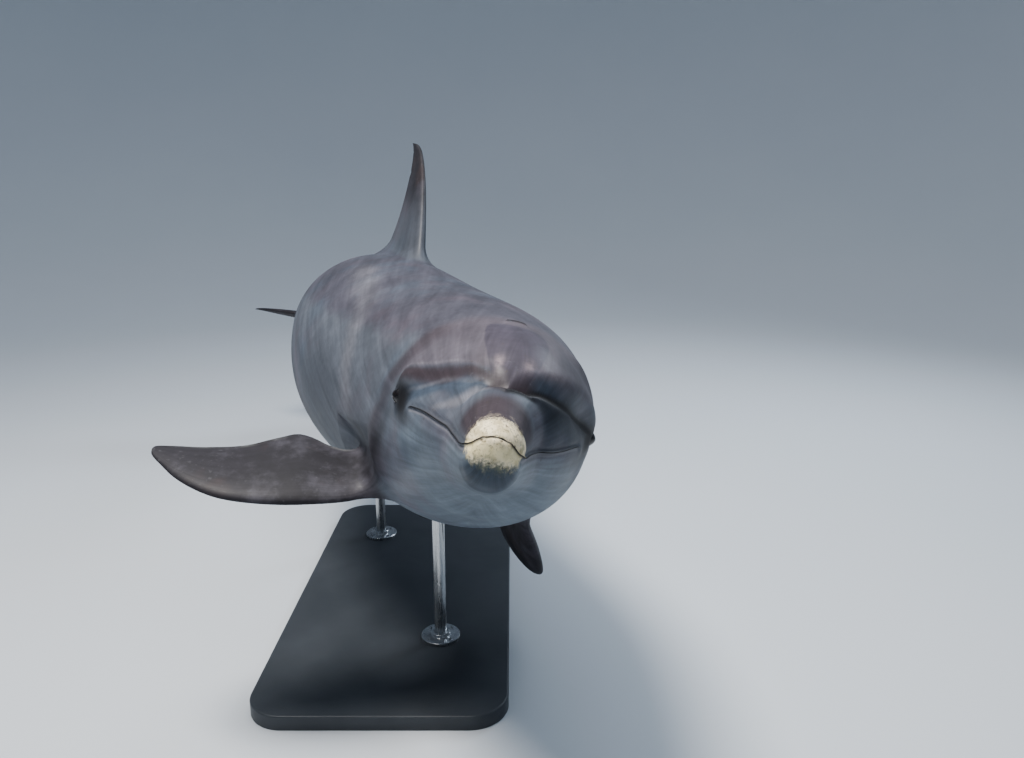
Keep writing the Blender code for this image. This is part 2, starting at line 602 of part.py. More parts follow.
def build_stand(spine, model, body_shape):
    """Flat base, and two rods with a flange below and a pad shaped to the belly above."""
    steel = material("stand_steel", (0.55, 0.56, 0.58), 0.3, 1.0)
    painted = material("stand_paint", (0.05, 0.055, 0.06), 0.45)
    rubber = material("stand_rubber", (0.02, 0.02, 0.02), 0.8)
    base = rounded_box("stand_base", BASE_SIZE, BASE_CORNER, BASE_EDGE, model)
    base.data.materials.append(painted)
    top = BASE_SIZE[2]
    for name, place in zip(("front", "rear"), ROD_PLACES):
        at = spine.pose(np.array([0.0, place, 0.0]))[:2]
        hit = body_shape.ray_cast(Vector((at[0], at[1], 0.0)), Vector((0, 0, 1)))[1]
        bottom = hit.z - PAD_HEIGHT
        pad = cylinder(f"stand_pad_{name}", at, bottom, hit.z + 0.05, PAD_RADIUS, 28, model)
        cut(pad, body_shape)
        pad.data.transform(Matrix.Translation((0, 0, -GAP)))
        pad.data.materials.clear()
        pad.data.materials.append(rubber)
        rod = cylinder(f"stand_rod_{name}", at, top + GAP, bottom - 2 * GAP, ROD_RADIUS, 24, model)
        rod.data.materials.append(steel)
        ring = flange(f"stand_flange_{name}", at, top + GAP, model)
        ring.data.materials.append(steel)
        for item in (rod, ring):
            item.data.shade_smooth()


def main():
    for item in list(bpy.data.objects):
        bpy.data.objects.remove(item, do_unlink=True)
    model = bpy.data.collections.new(COLLECTION)
    cutters = bpy.data.collections.new("cutters")
    bpy.context.scene.collection.children.link(model)
    bpy.context.scene.collection.children.link(cutters)
    spine = Spine()
    shape = as_cutter(new_object("belly_shape", *whole_body(spine), cutters))
    build_body(spine, model, cutters)
    build_eyes(spine, model)
    build_stand(spine, model, shape)


if __name__ == "__main__":
    main()
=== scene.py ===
# Bottlenose dolphin at life size, banking as it swims, on a plain display stand.
# The skin is lofted straight, along +Y from the beak tip with +X to its left, then bent along its spine.
import math
import bmesh
import bpy
import numpy as np
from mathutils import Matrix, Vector
from mathutils.bvhtree import BVHTree


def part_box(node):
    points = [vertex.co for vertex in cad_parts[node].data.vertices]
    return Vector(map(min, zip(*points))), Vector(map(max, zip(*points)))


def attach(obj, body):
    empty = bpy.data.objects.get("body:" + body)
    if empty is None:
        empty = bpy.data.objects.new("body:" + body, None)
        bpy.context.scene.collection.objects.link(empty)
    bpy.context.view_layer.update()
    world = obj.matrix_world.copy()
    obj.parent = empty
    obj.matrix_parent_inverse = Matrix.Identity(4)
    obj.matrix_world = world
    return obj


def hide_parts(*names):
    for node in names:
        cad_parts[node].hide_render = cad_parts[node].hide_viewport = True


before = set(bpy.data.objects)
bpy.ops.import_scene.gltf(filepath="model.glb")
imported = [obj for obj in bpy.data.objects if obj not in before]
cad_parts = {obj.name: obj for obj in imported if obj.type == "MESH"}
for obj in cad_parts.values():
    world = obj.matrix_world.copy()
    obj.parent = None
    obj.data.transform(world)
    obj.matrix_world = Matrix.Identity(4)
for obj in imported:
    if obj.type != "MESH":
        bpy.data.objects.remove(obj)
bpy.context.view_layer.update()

print("frame loaded")


def curve(stations, at):    # smooth curve through (place, value) stations, straight past both ends
    place, value = np.array(stations, float).T
    step = np.diff(place)
    slope = np.diff(value) / step
    tangent = np.concatenate(([slope[0]], (slope[:-1] * step[1:] + slope[1:] * step[:-1])
                              / (step[1:] + step[:-1]), [slope[-1]]))
    at = np.asarray(at, float)
    i = np.clip(np.searchsorted(place, at) - 1, 0, len(place) - 2)
    past = np.where(at < place[0], at - place[0], np.where(at > place[-1], at - place[-1], 0.0))
    u = np.clip((at - place[i]) / step[i], 0.0, 1.0)
    bend = step[i] * u * (1 - u) * (tangent[i] * (1 - u) - tangent[i + 1] * u)
    beyond = past * tangent[np.where(u < 0.5, i, i + 1)]
    return value[i] + (value[i + 1] - value[i]) * u * u * (3 - 2 * u) + bend + beyond


def ramp(start, end, at):    # goes smoothly from 0 at start to 1 at end, which may be below it
    u = np.clip((np.asarray(at, float) - start) / (end - start), 0.0, 1.0)
    return u * u * (3 - 2 * u)


def hump(off):    # soft hump, 1 in the middle and nearly 0 at 2
    return np.exp(-np.asarray(off, float) ** 2)


# The body's outlines, as (distance behind the beak tip, value) in metres, the same as the solids have.
bodyForm = {
    "back": ((0.105, 0.01), (0.114, 0.05), (0.125, 0.082), (0.145, 0.11), (0.175, 0.136),
             (0.23, 0.162), (0.33, 0.193), (0.55, 0.247), (0.9, 0.268), (1.2, 0.264),
             (1.6, 0.22), (2, 0.146), (2.22, 0.104), (2.36, 0.077), (2.412, 0.067)),
    "belly": ((0.1, -0.016), (0.18, -0.05), (0.33, -0.094), (0.55, -0.146), (0.8, -0.181),
              (1.1, -0.194), (1.45, -0.158), (1.9, -0.045), (2.2, 0.02), (2.36, 0.049), (2.412, 0.06)),
    "width": ((0.1, 0.02), (0.118, 0.044), (0.14, 0.066), (0.18, 0.092), (0.24, 0.118), (0.33, 0.143),
              (0.55, 0.193), (0.85, 0.228), (1.15, 0.234), (1.5, 0.192), (1.85, 0.106), (2.15, 0.043),
              (2.3, 0.027), (2.395, 0.018), (2.412, 0.008)),
    "backFullness": ((0.1, 2.1), (0.3, 2.1), (0.4, 2.25), (0.6, 2.25), (0.9, 1.85), (1.6, 1.8),
                     (2.44, 1.8)),
    "bellyFullness": ((0.1, 2.1), (0.4, 2.1), (0.7, 2), (1.1, 2.25), (1.6, 2.1), (2.44, 1.8)),
    "beakTop": ((0, 0.021), (0.04, 0.032), (0.08, 0.049), (0.118, 0.07), (0.2, 0.097), (0.34, 0.14)),
    "beakBottom": ((0, -0.033), (0.03, -0.055), (0.07, -0.062), (0.12, -0.064), (0.2, -0.07),
                   (0.34, -0.104)),
    "beakWidth": ((0, 0.029), (0.04, 0.036), (0.08, 0.043), (0.12, 0.054), (0.2, 0.083), (0.34, 0.12)),
    "middle": ((0, 0), (0.005, -0.0058), (0.012, -0.012), (0.022, -0.014), (0.045, -0.013),
               (0.08, -0.007), (0.2, 0.024),
               (0.285, 0.038), (0.4, 0.04), (1.1, 0.04), (1.6, 0.052), (2.44, 0.064)),
    "tipRounding": 0.03,
    "jawLead": 0.008,          # the lower jaw reaches past the upper one
    "crease": 0.003,
    "beakMerges": (0.3, 0.38),
    "melonSkew": 0.008,
    "brow": (0.318, math.radians(13), 0.048, math.radians(17), 0.009),
    "furrow": ((0.112, 90), (0.124, 74), (0.142, 56), (0.187, 32), (0.256, 15), (0.298, 8)),
    "ridge": ((0.118, 90), (0.143, 66), (0.182, 48), (0.257, 29), (0.33, 20)),
    "furrowDepth": 0.01,
    "ridgeHeight": 0.004,
}

spineForm = {
    "yaw": ((0, 4.5), (0.3, 4.5), (0.55, 14.3), (0.8, 23.8), (1.2, 20.4), (1.6, 18.8), (2.5, 18.8)),
    "pitch": ((0, 21), (0.3, 21), (0.55, 10.4), (0.8, -2.2), (1.2, -2.2), (1.6, 3.6),
              (2.1, 15.2), (2.5, 9)),
    "roll": 14.3,
    "anchor": 1.05,
    "anchorHeight": 0.55,
    "step": 0.005,
}


def oval(width, top, bottom, angle, power):
    height = np.where(np.sin(angle) > 0, top, bottom)
    wide, high = (np.abs(np.cos(angle)) / width) ** power, (np.abs(np.sin(angle)) / height) ** power
    return (wide + high) ** (-1 / power)


def stroke(s, up, path, width, height):    # long soft stroke, some degrees wide, that fades at both ends
    start, end = path[0][0], path[-1][0]
    ends = ramp(start - 0.004, start + 0.012, s) * ramp(end + 0.02, end - 0.05, s)
    return height * hump((up - curve(path, s)) / width) * ends


def bodySurface(s, angle):    # straight body at distance s and at an angle up from its left side
    f = bodyForm
    s, angle = np.broadcast_arrays(np.asarray(s, float), np.asarray(angle, float))
    middle = curve(f["middle"], s)
    top, bottom = curve(f["beakTop"], s) - middle, middle - curve(f["beakBottom"], s)
    beak = oval(curve(f["beakWidth"], s), top, bottom, angle, 2.2)
    beak = beak * np.sqrt(1 - (1 - np.clip(s / f["tipRounding"], 0, 1)) ** 2)
    power = np.where(np.sin(angle) > 0, curve(f["backFullness"], s), curve(f["bellyFullness"], s))
    trunk = oval(np.maximum(curve(f["width"], s), 0.001), np.maximum(curve(f["back"], s) - middle, 0.001),
                 np.maximum(middle - curve(f["belly"], s), 0.001), angle, power)
    joined = 0.5 * (beak + trunk + np.sqrt((beak - trunk) ** 2 + f["crease"] ** 2))
    radius = beak + (joined - beak) * ramp(0.085, 0.105, s)
    radius = radius + (trunk - radius) * ramp(*f["beakMerges"], s)
    beside = np.arcsin(np.sin(angle))
    place, height, length, spread, rise = f["brow"]
    radius = radius + rise * hump((s - place) / length) * hump((beside - height) / spread)
    up = np.degrees(beside)
    radius = radius + stroke(s, up, f["furrow"], 9.0, -f["furrowDepth"])
    radius = radius + stroke(s, up, f["ridge"], 10.0, f["ridgeHeight"])
    upper = 0.5 + 0.5 * np.tanh(radius * np.sin(angle) / 0.0022)
    lean = f["melonSkew"] * ramp(0.1, 0.14, s) * ramp(0.36, 0.18, s) * ramp(0.0, 0.8, np.sin(angle))
    x = radius * np.cos(angle) + lean
    y = s + f["jawLead"] * upper * ramp(0.07, 0.0, s)
    return np.stack([x, y, middle + radius * np.sin(angle)], -1)


def outward(s, angle):    # direction away from the skin, straight ahead at the beak tip
    ds, da = 0.0015, 0.02
    along = bodySurface(s + ds, angle) - bodySurface(np.maximum(s - ds, 0.0), angle)
    around = bodySurface(s, angle + da) - bodySurface(s, angle - da)
    normal = np.cross(around, along)
    normal = normal / np.maximum(np.linalg.norm(normal, axis=-1), 1e-12)[..., None]
    normal = normal + (np.array([0.0, -1.0, 0.0]) - normal) * ramp(0.006, 0.0, s)[..., None]
    return normal / np.linalg.norm(normal, axis=-1)[..., None]


def makeSpine():
    f = spineForm
    s = np.arange(0.0, 2.7, f["step"])
    yaw, pitch = np.radians(curve(f["yaw"], s)), np.radians(curve(f["pitch"], s))
    back = np.stack([-np.sin(yaw) * np.cos(pitch), np.cos(yaw) * np.cos(pitch), -np.sin(pitch)], -1)
    left = np.stack([np.cos(yaw), np.sin(yaw), 0 * yaw], -1)
    up = np.cross(left, back)
    roll = math.radians(f["roll"])
    path = np.concatenate([[[0, 0, 0]], np.cumsum((back[1:] + back[:-1]) * f["step"] / 2, axis=0)])
    path = path - path[int(round(f["anchor"] / f["step"]))] + (0.0, 0.0, f["anchorHeight"])
    cos, sin = math.cos(roll), math.sin(roll)
    return path, left * cos - up * sin, back, up * cos + left * sin


spine = makeSpine()


def pose(points, rigidAt=None):    # bends points with the spine, or carries them as it lies at one place
    points = np.asarray(points, float)
    s = points[..., 1] if rigidAt is None else np.full(points.shape[:-1], float(rigidAt))
    held = np.clip(s, 0.0, 2.6)
    f = np.clip(held / spineForm["step"], 0, len(spine[0]) - 1.001)
    i = f.astype(int)
    w = (f - i)[..., None]
    path, left, back, up = [a[i] * (1 - w) + a[i + 1] * w for a in spine]
    return path + points[..., :1] * left + points[..., 2:] * up + (points[..., 1] - held)[..., None] * back


# Fins: where each grows out of the body, how its span is aimed, and its two edges against the span.
dorsalFin = {
    "patch": (1.06, 1.45, 90, 10), "root": (0, 1.075, 0.262), "held": 1.25, "span": 0.276, "paired": False,
    "droop": -90, "sweep": 0, "twist": (0, 0), "thickness": 0.14,
    "leading": ((0, 0.012), (0.2, 0.068), (0.4, 0.128), (0.6, 0.192), (0.8, 0.256), (0.9, 0.292),
                (1, 0.34)),
    "trailing": ((0, 0.372), (0.2, 0.322), (0.4, 0.304), (0.6, 0.306), (0.8, 0.328), (0.9, 0.342),
                 (1, 0.352)),
    "lift": ((0, 0), (1, 0)), "nicks": ((0.52, 0.018, 0.007), (0.74, 0.012, 0.004)),
}
flipperShape = {
    "held": 0.6, "span": 0.38, "thickness": 0.15, "paired": False,
    "leading": ((0, 0.026), (0.08, 0.01), (0.22, 0.002), (0.4, 0.008), (0.5, 0.02), (0.6, 0.042),
                (0.7, 0.069), (0.8, 0.098), (0.9, 0.117), (1, 0.13)),
    "trailing": ((0, 0.128), (0.1, 0.131), (0.15, 0.144), (0.19, 0.162), (0.235, 0.174), (0.3, 0.166),
                 (0.4, 0.148), (0.55, 0.142), (0.75, 0.145), (0.9, 0.144), (1, 0.136)),
    "nicks": (),
}
flipperRight = dict(flipperShape, patch=(0.51, 0.73, -38, 25), root=(-0.131, 0.532, -0.12),
                    droop=9, sweep=1, twist=(33, 31), lift=((0, 0), (1, 0)))
flipperLeft = dict(flipperShape, patch=(0.51, 0.73, -38, 25), root=(0.124, 0.548, -0.114),
                   droop=52, sweep=38, twist=(2, -12), lift=((0, 0), (0.5, 0.012), (1, 0.034)))
fluke = {
    "patch": (2.19, 2.4, 0, 30), "held": 2.35, "span": 0.288, "root": (0.01, 2.19, 0.063), "paired": True,
    "droop": 0, "sweep": 0, "twist": (0, 0), "thickness": 0.11,
    "leading": ((0, 0), (0.2, 0.05), (0.4, 0.11), (0.6, 0.178), (0.8, 0.248), (1, 0.33)),
    "trailing": ((0, 0.255), (0.1, 0.28), (0.25, 0.302), (0.45, 0.3), (0.65, 0.294), (0.85, 0.306),
                 (1, 0.335)),
    "lift": ((0, 0), (1, 0)), "nicks": ((0.38, 0.01, 0.004),),
}


def finSection(fin, side, w, turn):    # ring round a fin's foil from its leading edge, at span parameter w
    droop, sweep = math.radians(fin["droop"]), math.radians(fin["sweep"])
    reach, bend = math.cos(sweep), float(ramp(0.0, 0.5, w))
    out = np.array([side * reach * math.cos(droop), math.sin(sweep), -reach * math.sin(droop)])
    flat = np.array([0.0, 1.0, 0.0]) - out * out[1] * bend
    flat /= np.linalg.norm(flat)
    face = np.cross(out, flat) * side
    face /= np.linalg.norm(face)
    twist = math.radians(fin["twist"][0] + (fin["twist"][1] - fin["twist"][0]) * bend)
    chord = flat * math.cos(twist) + face * math.sin(twist)
    face = face * math.cos(twist) - flat * math.sin(twist)
    lead, trail = float(curve(fin["leading"], w)), float(curve(fin["trailing"], w))
    for place, width, depth in fin["nicks"]:
        trail -= depth * float(hump((w - place) / width))
    root = np.array(fin["root"]) * (side if fin["paired"] else 1, 1, 1)
    start = root + out * fin["span"] * math.sin(w * math.pi / 2) + face * float(curve(fin["lift"], w))
    width = max(trail - lead, 0.0)
    x = 0.5 * (1 - np.cos(turn))
    foil = 5 * (0.2969 * np.sqrt(x) - 0.126 * x - 0.3516 * x ** 2 + 0.2843 * x ** 3 - 0.1036 * x ** 4)
    half = (fin["thickness"] * width * foil + 0.0006 * np.abs(np.sin(turn))) * np.sign(np.sin(turn))
    return start + np.outer(lead + width * x, chord) + np.outer(half, face)


# Small forms of the skin: depths and heights in metres, and places as distances behind the beak tip.
skinForm = {
    "tipRows": (0.03, 26),
    "rows": ((0.105, 32), (0.16, 30), (0.3, 42), (0.364, 36), (0.52, 24), (0.74, 28), (1.06, 18),
             (1.45, 28), (2.19, 37), (2.4, 20), (2.412, 4)),      # distance, and steps to there
    "columns": ((-86, 4), (-30, 15), (-6, 11), (-3.6, 3), (3.6, 17), (8, 5), (30, 13), (72, 18),
                (84, 5), (90, 7)),           # degrees up from the side, and steps to there
    "filletRows": 8,
    "finSections": (48, 46, 46, 46, 46), "finSpan": (0.1, 0.985),
    "mouthDepth": 0.0028, "mouthWidth": 0.0011, "mouthEnds": 0.246,
    "mouthLine": ((0, 0), (0.22, 0), (0.234, -0.5), (0.246, -2), (0.256, -4)),    # hooks down at its end
    "mouthShift": (1.4, -5), "mouthShiftAt": (0.155, 0.055),      # degrees up, on the right and on the left
    "lipHeight": 0.0009, "dimple": 0.0016,
    "furrowCut": 0.0026, "melonLip": 0.0024,
    "creaseLine": ((20, 0.16), (60, 0.126), (90, 0.107)), "creaseCut": 0.003,      # distance by degrees up
    "blowhole": {"place": 0.334, "aside": 0.002, "radius": 0.016, "depth": 0.0034, "width": 0.003,
                 "rim": 0.0006, "dip": 0.0015},
    "neckLine": ((-60, 0.54), (-30, 0.5), (-6, 0.459), (0, 0.436), (13, 0.425), (20, 0.406), (27, 0.386),
                 (45, 0.373), (62, 0.352), (90, 0.345)), "neckCut": 0.004,      # hollow behind the head
    "navel": 1.13, "slit": (1.56, 1.66), "vent": 1.79,
    "bellyCuts": {"navel": 0.0025, "slit": 0.003, "slitLips": 0.0012, "vent": 0.0022},
}
eyeForm = {
    "place": 0.33, "angle": 4, "radius": 0.0135, "sunk": 0.0095,
    "patch": (0.303, 0.358, -9, 17),       # stretch and angles of skin that the lids fill
    "length": 0.0112, "upper": 0.006, "lower": 0.005, "tilt": 8,
    "swell": 0.0034, "margin": 0.0004,
    "folds": ((0.0042, 0.0011, -0.001), (0.0066, 0.0018, 0.0007),
              (0.0098, 0.0014, -0.0007)),      # place, width and height
    "rings": 24,
}


def leftward(angle):    # 0 on the right of the back's middle, 1 on its left
    return ramp(102, 78, np.degrees(angle))


def mouthPath(s, side):    # degrees up of the mouth line
    place, length = skinForm["mouthShiftAt"]
    right, left = skinForm["mouthShift"]
    return curve(skinForm["mouthLine"], s) + np.where(side > 0, left, right) * hump((s - place) / length)


def placeOn(s, angle):    # the skin's straight place, its distance from the middle line, and degrees up
    at = bodySurface(s, angle)
    radius = np.hypot(at[..., 0], at[..., 2] - curve(bodyForm["middle"], s))
    return at, radius, np.degrees(np.arcsin(np.sin(angle)))


def roundBlowhole(x, s):    # distance from the blowhole's middle, and degrees from straight behind it
    hole = skinForm["blowhole"]
    across, behind = x - hole["aside"], s - hole["place"]
    return np.hypot(across, behind), np.abs(np.degrees(np.arctan2(across, behind)))


def relief(s, angle):    # small forms of head and belly, along the skin's outward direction
    f = skinForm
    at, radius, up = placeOn(s, angle)
    side = np.sign(np.cos(angle))
    # mouth line, with a lip on each side of it and a dimple behind its corner
    places = np.linspace(0, 0.3, 301)
    slope = np.gradient(curve(f["mouthLine"], places), 0.001)
    lean = np.hypot(1, np.radians(np.interp(s, places, slope)) * radius)
    off = np.radians(up - mouthPath(s, side)) * radius / lean
    ends = 1 - ramp(f["mouthEnds"] - 0.014, f["mouthEnds"] + 0.002, s)
    out = -np.minimum(f["mouthDepth"], 0.35 * radius + 0.0012) * hump(off / f["mouthWidth"]) * ends
    lips = hump((off - 0.0042) / 0.0026) + 0.8 * hump((off + 0.0045) / 0.003)
    out += f["lipHeight"] * lips * ramp(0.004, 0.02, s) * ramp(0.26, 0.2, s)
    out -= f["dimple"] * hump(off / 0.006) * hump((s - 0.252) / 0.012)
    # sharper bottom of the furrow and edge of the melon over it, fainter on the left
    beside = ramp(78, 60, up) * np.where(side > 0, 0.3, 1.0)
    overRidge = [(place, height + 1) for place, height in bodyForm["ridge"]]
    out += stroke(s, up, bodyForm["furrow"], 5.0, -f["furrowCut"]) * beside
    out += stroke(s, up, overRidge, 5.5, f["melonLip"]) * beside
    neckOff = s - curve(f["neckLine"], up)
    out -= f["neckCut"] * hump(neckOff / 0.034) * ramp(-62, -30, up) * ramp(66, 42, up)
    creaseOff = s - curve(f["creaseLine"], up)
    out -= f["creaseCut"] * hump(creaseOff / 0.0035) * ramp(48, 66, up) * (0.5 + 0.5 * leftward(angle))
    # blowhole: a crescent whose ends point forward, behind a soft dip, with a rim
    hole = f["blowhole"]
    reach, turn = roundBlowhole(at[..., 0], s)
    arc = hump((reach - hole["radius"]) / hole["width"]) * ramp(88, 58, turn)
    rim = hump((reach - hole["radius"] - 0.006) / 0.004) * ramp(120, 70, turn)
    dip = hole["rim"] * rim - hole["depth"] * arc - hole["dip"] * hump(reach / 0.02)
    out += dip * ramp(0.3, 0.6, np.sin(angle))
    # navel, genital slit and vent along the belly's middle
    low, across = ramp(0.8, 0.97, -np.sin(angle)), at[..., 0]
    (start, end), cuts = f["slit"], f["bellyCuts"]
    slit = ramp(start - 0.01, start + 0.02, s) * ramp(end + 0.01, end - 0.02, s)
    out -= cuts["navel"] * low * hump((s - f["navel"]) / 0.016) * hump(across / 0.007)
    out -= cuts["slit"] * low * slit * hump(across / 0.0035)
    out += cuts["slitLips"] * low * slit * hump((np.abs(across) - 0.009) / 0.005)
    out -= cuts["vent"] * low * hump((s - f["vent"]) / 0.014) * hump(across / 0.004)
    return out


def steps(table, start):
    values = [start]
    for end, count in table:
        first = values[-1]
        values += [first + (end - first) * (k + 1) / count for k in range(count)]
    return np.array(values)


def loopRound(rows, angles, patch, side):    # grid places round a patch's edge, and the ranges inside it
    start, end, centre, spread = patch
    first, last = int(np.argmin(abs(rows - start))), int(np.argmin(abs(rows - end)))
    middle = int(np.argmin(abs(angles - centre)))
    low, high = int(np.argmin(abs(angles - centre + spread))), int(np.argmin(abs(angles - centre - spread)))
    count = len(angles)
    loop = ([(first, c) for c in range(middle, high)] + [(r, high) for r in range(first, last)]
            + [(last, c) for c in range(high, low, -1)] + [(r, low) for r in range(last, first, -1)]
            + [(first, c) for c in range(low, middle)])
    if side < 0:
        loop = [(r, count - c) for r, c in loop]
        low, high = count - high, count - low
    return loop, (first, last, low, high)


class SkinMesh:    # collects the skin's points, faces and what its markings need to know
    def __init__(self):
        self.points, self.faces, self.notes, self.count = [], [], [], 0

    def add(self, points, s, angle, kind=0, fin=0, w=0, chord=0):    # with where they are on body and fin
        points = np.asarray(points, float).reshape(-1, 3)
        n = len(points)
        self.points.append(points)
        self.notes.append(np.stack([np.ravel(v) * np.ones(n) for v in (s, angle, kind, fin, w, chord)], -1))
        self.count += n
        return list(range(self.count - n, self.count))

    def loft(self, previous, rings):    # skin from one ring over the others, each as add takes it
        for ring in rings:
            current = self.add(*ring)
            for k in range(len(current)):
                n = (k + 1) % len(current)
                self.faces.append((previous[k], previous[n], current[n], current[k]))
            previous = current
        return previous

    def close(self, ring, tip):
        self.faces += [(point, ring[(k + 1) % len(ring)], tip) for k, point in enumerate(ring)]


def openPatch(grid, patch, side):    # takes a patch out of the grid, and tells of the points round its edge
    rows, angles, columns = grid["rows"], grid["angles"], len(grid["angles"])
    loop, (first, last, low, high) = loopRound(rows, angles, patch, side)
    loop = [(r, c % columns) for r, c in loop]
    for c in range(low, high):
        grid["kept"][first:last, c % columns] = False
    s, angle = np.array([rows[r] for r, c in loop]), np.radians([angles[c] for r, c in loop])
    return loop, s, angle, [int(grid["body"][r, c]) for r, c in loop]


def growFin(mesh, grid, fin, side, kind, sections):    # from its patch's edge, over a fillet, to its tip
    loop, s, angle, patchEdge = openPatch(grid, fin["patch"], side)
    edge = np.array([grid["straight"][r, c] for r, c in loop])
    size, fillet = len(loop), skinForm["filletRows"] + 1
    start, end = skinForm["finSpan"]
    turn = 2 * math.pi * np.arange(size) / size
    ring, foot = finSection(fin, side, start, turn), finSection(fin, side, 0.0, turn)
    if fin["paired"]:
        foot[:, 0] = side * np.maximum(abs(foot[:, 0]), curve(bodyForm["width"], foot[:, 1]))
    shift = int(np.argmin([np.sum((np.roll(ring, k, axis=0) - edge) ** 2) for k in range(size)]))

    def carried(points):
        return pose(np.roll(points, shift, axis=0), fin["held"])

    chord = np.roll(0.5 * (1 - np.cos(turn)), shift)
    posedEdge, posedFoot, posedRing = pose(edge), carried(foot), carried(ring)
    rings = []
    for u in np.arange(1, fillet) / fillet:
        points = (1 - u) ** 2 * posedEdge + 2 * u * (1 - u) * posedFoot + u * u * posedRing
        rings.append((points, s, angle, kind, u, start * u, chord))
    for w in np.linspace(start, end, sections + 1):
        rings.append((carried(finSection(fin, side, w, turn)), s, angle, kind, 1, w, chord))
    tip = pose(finSection(fin, side, 1.0, turn), fin["held"]).mean(axis=0)
    last = mesh.loft(patchEdge, rings)
    mesh.close(last, mesh.add(tip, s[0], angle[0], kind, 1, 1, 0.5)[0])


def openEye(mesh, grid, side):    # from its patch's edge, over the lids, to behind the ball
    start, end, low, high = eyeForm["patch"]
    loop, s, angle, patchEdge = openPatch(grid, (start, end, (low + high) / 2, (high - low) / 2), side)
    if side < 0:
        angle = np.where(angle < 0, angle + 2 * math.pi, angle)
    rings, ball = eyelids(s, angle, side)
    last = mesh.loft(patchEdge, rings)
    mesh.close(last, mesh.add(pose(ball), eyeForm["place"], angle[0])[0])


def eyelids(s, angle, side):    # rings of lid from the patch's edge to the ball, and the roll behind them
    f = eyeForm
    centre = np.array([f["place"], math.radians(f["angle"] if side > 0 else 180 - f["angle"])])
    at = bodySurface(*centre)
    radius = math.hypot(at[0], at[2] - float(curve(bodyForm["middle"], f["place"])))
    flat = np.stack([s - centre[0], side * (angle - centre[1]) * radius], -1)    # metres back and up
    turn = np.arctan2(flat[:, 1] / 0.032, flat[:, 0] / 0.028)
    tilt = math.radians(f["tilt"])
    high = np.where(np.sin(turn) > 0, f["upper"], f["lower"]) * (1 - 0.22 * np.cos(turn) ** 2)
    almond = np.stack([f["length"] * np.cos(turn), high * np.sin(turn)], -1)
    almond = almond @ np.array([[math.cos(tilt), math.sin(tilt)], [-math.sin(tilt), math.cos(tilt)]])
    upperLid = np.where(np.sin(turn) > 0, 1.0, 0.6)
    ball = at - np.array([side * f["sunk"], 0, 0])
    rings = []
    for k in range(1, f["rings"] + 1):
        u = 1 - (1 - k / f["rings"]) ** 1.7
        place = flat * (1 - u) + almond * u
        gap = np.linalg.norm(place - almond, axis=1)
        ps, pa = centre[0] + place[:, 0], centre[1] + side * place[:, 1] / radius
        swell = (f["swell"] - 0.0016 * np.cos(turn) ** 2) * hump(gap / 0.009)
        for middle, width, height in f["folds"]:
            swell = swell + height * hump((gap - middle) / width) * upperLid
        swell = swell + f["margin"] * hump((gap - 0.0016) / 0.0012)
        lid = bodySurface(ps, pa) + outward(ps, pa) * swell[:, None]
        rings.append((pose(lid), ps, pa))
    toCentre = np.stack([np.zeros(len(lid)), -almond[:, 0], -almond[:, 1]], -1)
    toCentre /= np.linalg.norm(toCentre, axis=1)[:, None]
    inner = lid + toCentre * 0.0009 - [side * 0.0012, 0, 0]
    fromBall = inner - ball
    fromBall /= np.linalg.norm(fromBall, axis=1)[:, None]
    behind = (lid + toCentre * 0.0006 - [side * 0.0003, 0, 0], inner,
              ball + fromBall * (f["radius"] - 0.0012), ball + fromBall * (f["radius"] * 0.5))
    return rings + [(pose(points), ps, pa) for points in behind], ball


def buildSkin():
    f = skinForm
    end, count = f["tipRows"]
    tipRows = end * (np.arange(1, count) / count) ** 2        # closer towards the tip
    rows = np.concatenate([tipRows, steps(f["rows"], end)])
    half = steps(f["columns"], -90.0)
    angles = np.concatenate([half, 180 - half[-2:0:-1]])
    gridS, gridA = np.meshgrid(rows, np.radians(angles), indexing="ij")
    straight = bodySurface(gridS, gridA)
    straight = straight + outward(gridS, gridA) * relief(gridS, gridA)[..., None]
    mesh = SkinMesh()
    body = np.array(mesh.add(pose(straight), gridS, gridA)).reshape(gridS.shape)
    kept = np.ones((len(rows) - 1, len(angles)), bool)
    grid = {"rows": rows, "angles": angles, "straight": straight, "body": body, "kept": kept}
    fins = ((dorsalFin, 1, 1), (flipperRight, -1, 2), (flipperLeft, 1, 3), (fluke, -1, 4), (fluke, 1, 4))
    for (fin, side, kind), sections in zip(fins, f["finSections"]):
        growFin(mesh, grid, fin, side, kind, sections)
    for side in (1, -1):
        openEye(mesh, grid, side)
    beside = np.roll(body, -1, axis=1)
    mesh.faces += np.stack([body[:-1], beside[:-1], beside[1:], body[1:]], -1)[kept].tolist()
    tip = mesh.add(pose((0, bodyForm["jawLead"] / 2 + 0.0008, 0)), 0, 0)[0]
    tailEnd = (0, rows[-1] + 0.004, float(curve(bodyForm["middle"], rows[-1])))
    tail = mesh.add(pose(tailEnd), rows[-1], 0)[0]
    mesh.close(body[0][::-1].tolist(), tip)
    mesh.close(body[-1].tolist(), tail)
    return np.concatenate(mesh.points), mesh.faces, np.concatenate(mesh.notes)


def placed(name, data):    # a new object in the scene
    item = bpy.data.objects.new(name, data)
    bpy.context.scene.collection.objects.link(item)
    return item


def meshObject(name, points, faces):
    data = bpy.data.meshes.new(name)
    data.from_pydata(np.asarray(points, float).tolist(), [], faces)
    work = bmesh.new()
    work.from_mesh(data)
    bmesh.ops.recalc_face_normals(work, faces=work.faces)
    work.to_mesh(data)
    work.free()
    data.shade_smooth()
    return placed(name, data)


